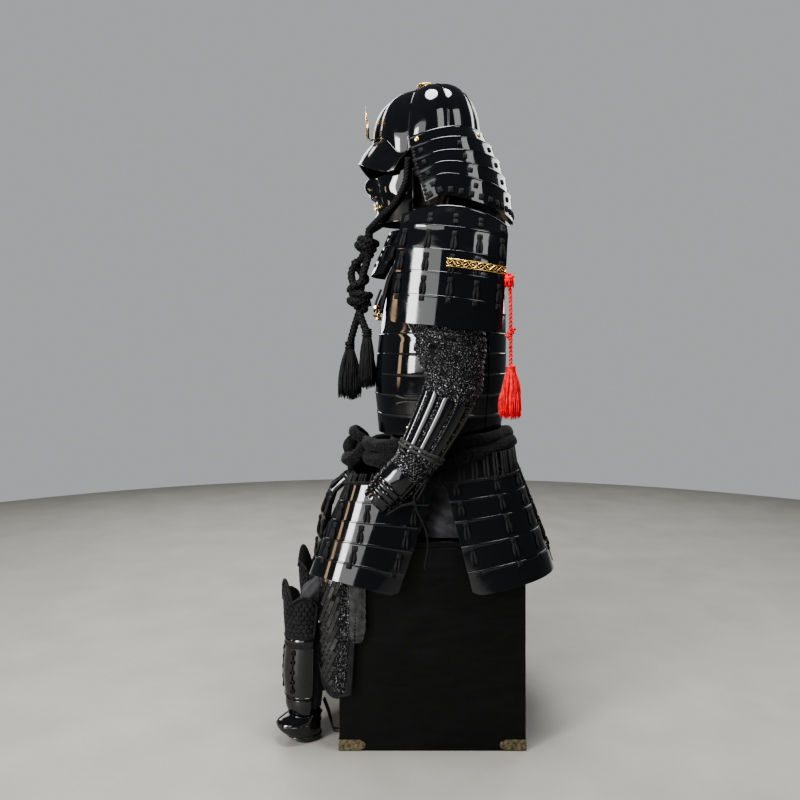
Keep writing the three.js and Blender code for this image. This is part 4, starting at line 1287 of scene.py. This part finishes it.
rolls = []
for phase, up, out, radius, slope, rear_out, rear_up in (
        (0.0, 0.0125, 0.001, 0.0148, 1, -0.004, 0.001), (0.9, -0.0125, 0.0025, 0.0158, -0.2, 0.004, 0.013)):
    line, radii = [], []
    for j in range(161):
        angle = 2 * math.pi * j / 160
        sway = 0.0035 * math.sin(3 * angle + phase) + 0.002 * math.sin(7 * angle + 2 * phase)
        cross = 0.006 * math.sin(angle + phase)
        rear = max(0, -math.cos(angle)) ** 0.7
        line.append(waist_point(angle, out + 0.4 * sway + rear_out * rear,
                                up + sway + cross * slope + rear_up * rear))
        radii.append(radius * (1 + 0.07 * math.sin(0.31 * j + phase) + 0.04 * math.sin(0.77 * j)))
    rolls.append(roll_tube(line, radii, 0.012))
bow_paths = [
    ([at(30, -140, 604), at(22, -160, 614), at(0, -168, 622), at(-26, -160, 618), at(-34, -144, 602),
      at(-10, -150, 592), at(14, -154, 590)], 0.0125),
    ([at(-30, -142, 592), at(-40, -160, 572), at(-14, -176, 562), at(20, -178, 562), at(46, -164, 566),
      at(42, -146, 584), at(14, -146, 592)], 0.0165),
    ([at(-10, -150, 600), at(-2, -172, 598), at(8, -176, 582), at(6, -160, 570)], 0.0150),
    ([at(34, -158, 580), at(44, -168, 556), at(40, -170, 536)], 0.0110),
    ([at(-30, -158, 580), at(-42, -166, 558), at(-40, -168, 538)], 0.0110),
]
for points, radius in bow_paths:
    radii = [radius * (0.72 + 0.28 * math.sin(math.pi * (0.12 + 0.76 * i / 46))) for i in range(47)]
    rolls.append(roll_tube(smooth(points, 46), radii, 0.03))
sash = piece_of("sash_rolls", rolls, crepe)
modify(sash, "SUBSURF", levels=1, render_levels=1)
mount(sash, "crepe", "sash")


# Tassets: six laced panels of five lames, hung below the cuirass on close rows of black cord.
# The top lame of each has a plaited edge, and the rear ones hang lower, on longer cords.
def arc(three):
    """A curve through three points."""
    start, middle, end = (at(*p) for p in three)
    control = 2 * middle - (start + end) / 2
    shares = [i / 32 for i in range(33)]
    return [start * (1 - t) ** 2 + control * 2 * t * (1 - t) + end * t ** 2 for t in shares]


def panel_levels(top, bottom):
    first, last, lames = arc(top), arc(bottom), 5
    return [[a.lerp(b, i / lames) for a, b in zip(first, last)] for i in range(lames + 1)]


def rounded_end(levels):
    """Rounds the two lower corners of a panel's last level."""
    last, lift = levels[-1], 0.010
    count = len(last) - 1
    for j, p in enumerate(last):
        share = max(0, abs(2 * j / count - 1) - 0.86) / 0.14
        above = levels[-2][j]
        last[j] = p.lerp(above, share ** 2.4 * lift / (p - above).length)
    return levels


FRONT_EDGES = [  # half width, y and z of the ends, z of the middle
    (76, -174, 526, 529), (78, -206, 498, 500), (79, -222, 448, 450),
    (80, -228, 400, 402), (81, -231, 352, 352), (81, -232, 300, 296)]
TASSETS = {
    "tasset_front": [arc(((-half, y, z), (0, y - 16, middle), (half, y, z)))
                     for half, y, z, middle in FRONT_EDGES],
    "tasset_front_left": panel_levels(((100, -172, 526), (178, -148, 536), (190, 8, 540)),
                                      ((112, -249, 334), (210, -200, 350), (215, -68, 316))),
    "tasset_back_left": panel_levels(((182, 20, 556), (160, 150, 568), (72, 180, 574)),
                                     ((208, 78, 315), (198, 203, 346), (80, 254, 346))),
    "tasset_back": panel_levels(((60, 184, 574), (0, 188, 576), (-60, 184, 574)),
                                ((66, 258, 348), (0, 264, 346), (-66, 258, 348))),
}
for name, levels in TASSETS.items():
    rear = "back" in name
    if rear:
        levels[0] = [a.lerp(b, 0.42) for a, b in zip(levels[0], levels[1])]
        levels[1] = [a.lerp(b, 0.18) for a, b in zip(levels[1], levels[2])]
    columns = [0.06, 0.36 if name.endswith("left") else 0.35, 0.65, 0.94]
    plates, threads = laced_panel(f"{name}_plates", f"{name}_lacing", rounded_end(levels), body_away, columns,
                                  0.0062, 0.13 if rear else 0.3, end=0.76 if rear else 0.96)
    top, second = [stepped(level, 0, len(levels), body_away) for level in levels[:2]]
    hung = []
    rise, radius, cords = (0.046, 0.0026, 22) if rear else (0.014, 0.0021, 22)
    for k in range(cords + 1):
        p = top[round(k * (len(top) - 1) / cords)]
        inward = -body_away(p)
        hung.append(tube([p + inward * 0.001 - at(0, 0, 10), p + inward * 0.0035,
                          p + inward * 0.011 + Vector((0, 0, rise))], radius, 6))
    for way in (1, -1):
        line = []
        for k in range(121):
            spot = seat(top, second, k / 120, 0.1, 0.0022)
            wave = 0.00275 * way * math.sin(2 * math.pi * k / 6)
            line.append(spot @ Vector((0, wave, 0.0006 * way * math.cos(2 * math.pi * k / 3))))
        hung.append(tube(line, 0.0015, 5))
    hung = piece_of(f"{name}_cords", hung, lacing_silk)
    fix = pair_up if name.endswith("_left") else mount
    fix(plates, "lacquer", name.removesuffix("_left"))
    fix(threads, "lacing")
    fix(hung, "lacing")


# Thigh guards: cloth aprons over the thighs and knees, faced with rows of small lacquered plates
# and a strip of mail down the outer side, with twisted piping and a rounded grey flap behind.
THIGH = [  # each level from its inner to its outer edge
    ((96, -156, 508), (122, -162, 510), (146, -153, 510), (162, -128, 510), (170, -90, 510)),
    ((112, -209, 424), (140, -209, 424), (170, -203, 424), (193, -179, 424), (197, -124, 424)),
    ((155, -226, 340), (170, -223, 338), (184, -214, 336), (196, -192, 334), (200, -150, 332)),
    ((158, -228, 250), (173, -226, 248), (187, -217, 246), (198, -196, 245), (202, -154, 245)),
    ((160, -226, 176), (175, -223, 152), (188, -214, 128), (198, -194, 113), (202, -162, 120)),
]
thigh_rows = loft([smooth([at(*p) for p in level], 24) for level in THIGH], 60)
apron = panel("thigh_guard_left_cloth", thigh_rows, 0.0018, cloth, edge=0.0004)
piping = twist(hem(thigh_rows, thigh_rows[-1]), 0.0034, 3)
piping = piece_of("thigh_guard_left_piping", piping, lacing_silk)
small_plate = cutout("small plate", lozenge(0.0052, 0.0058, 0.0072), 0.0012, lacquer)
plate_places, rings = [], []
for i in range(2, 58, 2):
    for n in range(8):
        across = 0.05 + 0.082 * n + (0.041 if (i // 2) % 2 else 0)
        if across < 0.66:
            nod, lean = dice.uniform(-0.1, 0.1), dice.uniform(-0.12, 0.12)
            plate_places.append(seat(thigh_rows[i], thigh_rows[i + 1], across, 0.5, 0.0018)
                                @ Matrix.Rotation(nod, 4, "X") @ Matrix.Rotation(lean, 4, "Y")
                                @ Matrix.Diagonal((0.72, 0.9, 1, 1)))
for i in range(1, 59):
    for k in range(6):
        across = 0.70 + 0.035 * k
        tip = Matrix.Rotation(0.6 if (i + k) % 2 else -0.6, 4, "Z")
        rings.append(seat(thigh_rows[i], thigh_rows[i + 1], across, 0.5, 0.0012) @ tip
                     @ Matrix.Rotation(0.5, 4, "Y") @ Matrix.Diagonal((0.8, 1.15, 0.9, 1)))
flap_rows = []
for i in range(15):
    t = i / 14
    narrow = 1 - 0.55 * max(0, (t - 0.72) / 0.28) ** 2.6
    flap_rows.append([at(201 + 3 * math.sin(math.pi * k / 12), 17 * (k / 6 - 1) * narrow - 151,
                         338 - 115 * t) for k in range(13)])
apron = join("thigh_guard_left_cloth", [apron, panel("flap", flap_rows, 0.0018, tie_grey, edge=0.0004)])
flap_piping = piece_of("flap piping", twist(hem(flap_rows, flap_rows[-1]), 0.0022, 2, 5), tie_grey)
piping = join("thigh_guard_left_piping", [piping, flap_piping])
plates = copies("thigh_guard_left_plates", small_plate, plate_places, lacquer)
plates.data.shade_flat()
pair_up(apron, "cloth", "thigh_guard")
pair_up(piping, "lacing")
pair_up(plates, "lacquer")
pair_up(copies("thigh_guard_left_mail", ring_model(), rings, mail_steel), "mail")


# Trousers: charcoal cotton, a gathered seat spread on the chest's lid and two legs that run over
# its front edge and into the shin guards, with soft folds at the hips, lap and knees.
def hull_oval(z, half, front, rear, count=96):
    ring = [hull_point(z, 2 * math.pi * j / count, half, front, rear) for j in range(count)]
    return ring + [ring[0].copy()]


charcoal = dyed("charcoal cotton", (0.026, 0.026, 0.028), (0.04, 0.04, 0.043), 0.88, 0.15)
relief(charcoal, pattern(charcoal, "Noise", 1100, Detail=2.0), 0.4, 0.0004)
SEAT_RINGS = [(612, 128, -88, 136), (560, 140, -96, 146), (500, 152, -104, 152),
              (450, 164, -110, 156), (420.5, 166, -108, 158)]
seat_rows = loft([hull_oval(*ring) for ring in SEAT_RINGS], 40)


def seat_fold(i, j):
    turn, down = 2 * math.pi * j / 96, i / 40
    hang = 0.0022 * math.sin(13 * turn + 2.2 * math.sin(2 * turn)) * (0.4 + 0.6 * down)
    drape = 0.0032 * down * math.sin(5 * turn + 9 * down + 1.3 * math.sin(3 * turn))
    p = seat_rows[i][j] * 1000
    slump = 0
    for height, width, rise in ((434, 6, 0.009), (453, 8, 0.012), (478, 9, 0.009), (506, 9, 0.006)):
        slump += rise * bump(p.z + 0.42 * (p.y - 25), height, width) * min(1, abs(p.x) / 130)
    return hang + drape + slump - 0.003


seat_cloth = panel("trousers_seat_cloth", swollen(seat_rows, seat_fold), 0.0016, charcoal, ring=True, edge=0)
mount(seat_cloth, "cloth", "trousers_seat")

LEG_RINGS = [((94, -122, 458), 50, 36, 80), ((103, -160, 447), 48, 24, 55), ((107, -189, 430), 45, 11, 40),
             ((109, -197, 420), 44, 9, 25), ((110, -199.5, 400), 42, 10.5, 0), ((116, -206, 350), 32, 16, 12),
             ((121, -236, 305), 29, 24, 22), ((125, -256, 250), 34, 33, 8), ((125, -258, 160), 33, 34, 0),
             ((125, -258, 66), 28, 30, 0)]
leg_rows = loft([oval(*ring) for ring in LEG_RINGS], 84)


def leg_fold(i, j):
    turn, down = 2 * math.pi * j / 48, i / 84
    bend = bump(down, 0.5, 0.16)
    length_folds = 0.0022 * math.sin(9 * turn + 8 * down) * (1 - 0.5 * bend)
    knee_folds = 0.004 * bend * math.sin(46 * down + 2.4 * math.sin(turn))
    return length_folds + knee_folds + 0.001 * math.sin(4 * turn + 30 * down) - 0.001


leg_cloth = panel("trouser_leg_left_cloth", swollen(leg_rows, leg_fold), 0.0016, charcoal, ring=True, edge=0)
pair_up(leg_cloth, "cloth", "trouser_leg")


# Shin guards: a curved plate laced down two columns, with bands above and below, under a knee
# guard of small cloth-covered hexagons whose top rises in a tall middle lobe and one each side.
LEG = Matrix.Translation(at(125, -258, 0)) @ Matrix.Rotation(math.radians(30), 4, "Z")
SHIN = [  # height, radius, and how far the guard reaches round
    (58, 37, 76), (92, 42, 80), (140, 44, 82), (196, 41, 84), (214, 40, 86), (256, 45, 90), (290, 47, 92)]
KNEE_FOOT, KNEE_TOP = 256, 290


def knee_top(side):
    """Height of the knee guard's edge: a tall lobe in front and a lower one at each side."""
    away = abs(side)
    middle = 46 * max(0, math.cos(min(1, away / 0.32) * math.pi / 2)) ** 0.8
    return 285 + middle + 16 * max(0, math.sin(math.pi * max(0, away - 0.32) / 0.68)) ** 0.8


def shin_point(z, side, out=0.0):
    r, reach = sizes_at(z, SHIN)[1:]
    turn = math.radians(reach) * side
    flare = 1 + 0.06 * (1 - abs(side)) * min(1, max(0, (262 - z) / 40))
    lift = (knee_top(side) - KNEE_TOP) * min(1, max(0, (z - KNEE_FOOT) / (KNEE_TOP - KNEE_FOOT)))
    r += 1000 * out
    return LEG @ at(r * math.sin(turn), -r * flare * math.cos(turn), z + lift)


def shin_rows(top, bottom, out, steps=24, swell=0.0, flat_sides=False):
    """Rows down the guard; swell is how far they bulge halfway down."""
    rows = []
    sides = [j / 24 - 1 for j in range(49)]
    for i in range(steps + 1):
        bulge = swell * math.sin(math.pi * i / steps)
        rows.append([shin_point(top + (bottom - top) * i / steps, side,
                                out + bulge * (1 - side * side if flat_sides else 1)) for side in sides])
    return rows


def rim_of(rows):
    """The line all the way round a grid of points."""
    return rows[0] + [r[-1] for r in rows] + rows[-1][::-1] + [r[0] for r in rows[::-1]]


plate_rows = shin_rows(196, 96, 0.0012, swell=0.0018, flat_sides=True)
ankle_rows = shin_rows(90, 60, 0, swell=0.0022)
upper_rows = shin_rows(214, 204, 0.0022, 6, 0.0014)
greave = [panel("plate", plate_rows, 0.0020, lacquer, edge=0.0005),
          piece_of("roll", [tube(rim_of(plate_rows), 0.0014, 6)], lacquer),
          panel("ankle band", ankle_rows, 0.002, lacquer, edge=0.0005),
          panel("upper band", upper_rows, 0.002, lacquer, edge=0.0004)]
pair_up(join("shin_guard_left_plates", greave), "lacquer", "shin_guard")
backing = [panel("knee", shin_rows(KNEE_TOP, 214, 0, 30), 0.0026, cloth, edge=0.0008),
           panel("flat band", shin_rows(205, 196, 0.0028, 6, 0.0012), 0.0016, cloth, edge=0.0004),
           panel("shin cloth", shin_rows(212, 58, -0.0022), 0.0012, cloth, edge=0.0003)]
pair_up(join("shin_guard_left_cloth", backing), "cloth")
def shin_place(z, side, out, step_aside, step_up):
    """The place on the guard at a height and side, found from its neighbours."""
    centre = shin_point(z, side, out)
    beside, above = shin_point(z, side + step_aside, out), shin_point(z + step_up, side, out)
    return facing(centre, beside - centre, above - centre)


laces = twist(rim_of(shin_rows(KNEE_TOP, 216, 0.0016, 30)), 0.0036, 3)
for side in (-0.36, 0.36):
    for k, z in enumerate((186, 168, 148, 128, 110)):
        place = shin_place(z, side, 0.0042, 0.04, 2)
        ring = [place @ at(4.2 * math.cos(2 * math.pi * n / 14), 4.2 * math.sin(2 * math.pi * n / 14), 0)
                for n in range(15)]
        laces.append(tube(ring, 0.0013, 6))
        if k < 4:
            laces.append(tube([place @ at(0, -4, 0), shin_point(z - 14, side, 0.0038)], 0.0012, 6))
pair_up(piece_of("shin_guard_left_lacing", laces, lacing_silk), "lacing")
bpy.ops.object.select_all(action="DESELECT")
bpy.ops.mesh.primitive_circle_add(vertices=6, radius=0.0062, fill_type="NGON",
                                  rotation=(0, 0, math.radians(30)))
settle()
edit_all(lambda: bpy.ops.mesh.extrude_region_move(TRANSFORM_OT_translate={"value": (0, 0, 0.0016)}))
hexagon = named("hexagon", cloth)
modify(hexagon, "BEVEL", width=0.0007, segments=2, limit_method="ANGLE", angle_limit=0.7)
hexagons = []
for row, z in enumerate(range(223, 326, 9)):
    for k in range(-6, 7):
        side = (k + (0.5 if row % 2 else 0)) / 6.6
        top = knee_top(side)
        if abs(side) > 0.93 or z > top - 7:
            continue
        height = z
        if z >= KNEE_FOOT:
            height = KNEE_FOOT + (z - KNEE_FOOT) * (KNEE_TOP - KNEE_FOOT) / (top - KNEE_FOOT)
        hexagons.append(shin_place(height, side, 0.0010, 0.03, 2) @ Matrix.Diagonal((0.92, 0.8, 1, 1)))
pair_up(copies("shin_guard_left_hexagons", hexagon, hexagons, cloth), "cloth")


# Shoes: lacquered plates over the foot in a rounded shell on a flat sole, with a turned-up rim.
def shoe_ring(z, width, depth, ahead, count=56):
    ring = []
    for j in range(count + 1):
        turn = 2 * math.pi * j / count
        c, s = math.cos(turn), math.sin(turn)
        toe = max(0, -s) ** 3
        ring.append(LEG @ at(width * boxy(c, 2.3) * (1 - 0.12 * toe), ahead + depth * boxy(s, 2.3),
                             z + 2 * toe * min(1, z / 20)))
    ring[-1] = ring[0].copy()
    return ring


SHOE = [(54, 31, 34, -4), (47, 32.6, 41, -12), (40, 34, 46, -18), (26, 34, 44, -16),
        (10, 31, 34, -6), (1.2, 28, 28, 0)]
shoe_rows = loft([shoe_ring(*ring) for ring in SHOE], 30)
shoe = [panel("upper", shoe_rows, 0.0022, lacquer, ring=True, edge=0.0004)]
for ring, radius in (((54, 31, 34, -4), 0.0016), ((38, 34.6, 46.4, -18), 0.0012), ((12, 32, 36, -7), 0.0012)):
    shoe.append(piece_of("rim", [tube(shoe_ring(*ring), radius, 6)], lacquer))
pair_up(join("shoe_left_plates", shoe), "lacquer", "shoe")
sole = cutout("shoe_left_sole", [(p.x, p.y) for p in shoe_ring(0, 27.5, 27.5, 0)[:-1]], 0.0018, cloth)
sole.data.transform(Matrix.Translation((0, 0, 0.0021)))
pair_up(sole, "cloth")
ties = []
for x, y, z, dx, dy in ((96, -212, 40, -2, 6), (99, -214, 38, 8, 12)):
    line = [at(x + 4, y - 12, z + 30), at(x, y - 2, z), at(x + dx / 2, y + dy / 2, 14),
            at(x + dx, y + dy, 3.4), at(x + dx + 2, y + dy + 14, 3.2)]
    ties += twist(smooth(line, 30), 0.0024)
pair_up(piece_of("shoe_left_ties", ties, tie_grey), "lacing")


# Studio: a pale round floor under large soft lights. The camera sees a plain light grey surround,
# and everything else a dim room, so that the lacquer stays a deep black between the lights.
bpy.ops.object.select_all(action="DESELECT")
bpy.ops.mesh.primitive_circle_add(vertices=96, radius=3.4, fill_type="NGON", location=(0, 0, -0.0005))
settle()
floor_paint = new_finish("floor", (0.26, 0.25, 0.23), 0.6)
tint(floor_paint, pattern(floor_paint, "Noise", 6, Detail=5.0), (0.24, 0.232, 0.212), (0.28, 0.27, 0.248))
floor = named("floor", floor_paint)
bpy.context.scene.view_settings.look = "AgX - Medium High Contrast"
world = bpy.data.worlds.new("surround")
bpy.context.scene.world = world
world.use_nodes = True
seen = world.node_tree.nodes["Background"]
seen.inputs["Color"].default_value = (0.36, 0.37, 0.375, 1)
room = world.node_tree.nodes.new("ShaderNodeBackground")
room.inputs["Color"].default_value = (0.11, 0.113, 0.116, 1)
choice = world.node_tree.nodes.new("ShaderNodeMixShader")
rays = world.node_tree.nodes.new("ShaderNodeLightPath")
for source, end in ((rays.outputs["Is Camera Ray"], choice.inputs[0]), (room.outputs[0], choice.inputs[1]),
                    (seen.outputs[0], choice.inputs[2]),
                    (choice.outputs[0], world.node_tree.nodes["World Output"].inputs["Surface"])):
    world.node_tree.links.new(source, end)


def softbox(name, place, aim, width, height, power, colour=(1, 1, 1), shape="RECTANGLE"):
    light = bpy.data.objects.new(name, bpy.data.lights.new(name, "AREA"))
    bpy.context.scene.collection.objects.link(light)
    light.location = place
    light.rotation_euler = (Vector(aim) - Vector(place)).to_track_quat("-Z", "Y").to_euler()
    light.data.shape = shape
    light.data.size, light.data.size_y = width, height
    light.data.energy, light.data.color = power, colour


softbox("key strip", (2.15, -2.0, 1.35), (0.2, 0, 0.85), 0.7, 2.0, 115)
softbox("wide key", (2.5, -1.5, 1.45), (0.2, 0, 0.8), 2.2, 2.2, 52)
softbox("rear strip", (1.9, 1.9, 2.3), (0.2, 0, 0.95), 1.0, 1.6, 24)
softbox("top light", (0.5, 0.1, 3.2), (0, 0, 0.8), 1.3, 1.3, 110, shape="DISK")
softbox("far fill", (-2.4, -1.2, 2.0), (0, 0, 0.8), 1.8, 2.0, 45)
softbox("far rear fill", (-2.2, 1.8, 2.0), (0, 0, 0.8), 1.4, 2.0, 30)
softbox("warm glow", (1.0, -3.0, 0.9), (0, -0.1, 0.7), 0.45, 1.2, 12, (1.0, 0.7, 0.42))
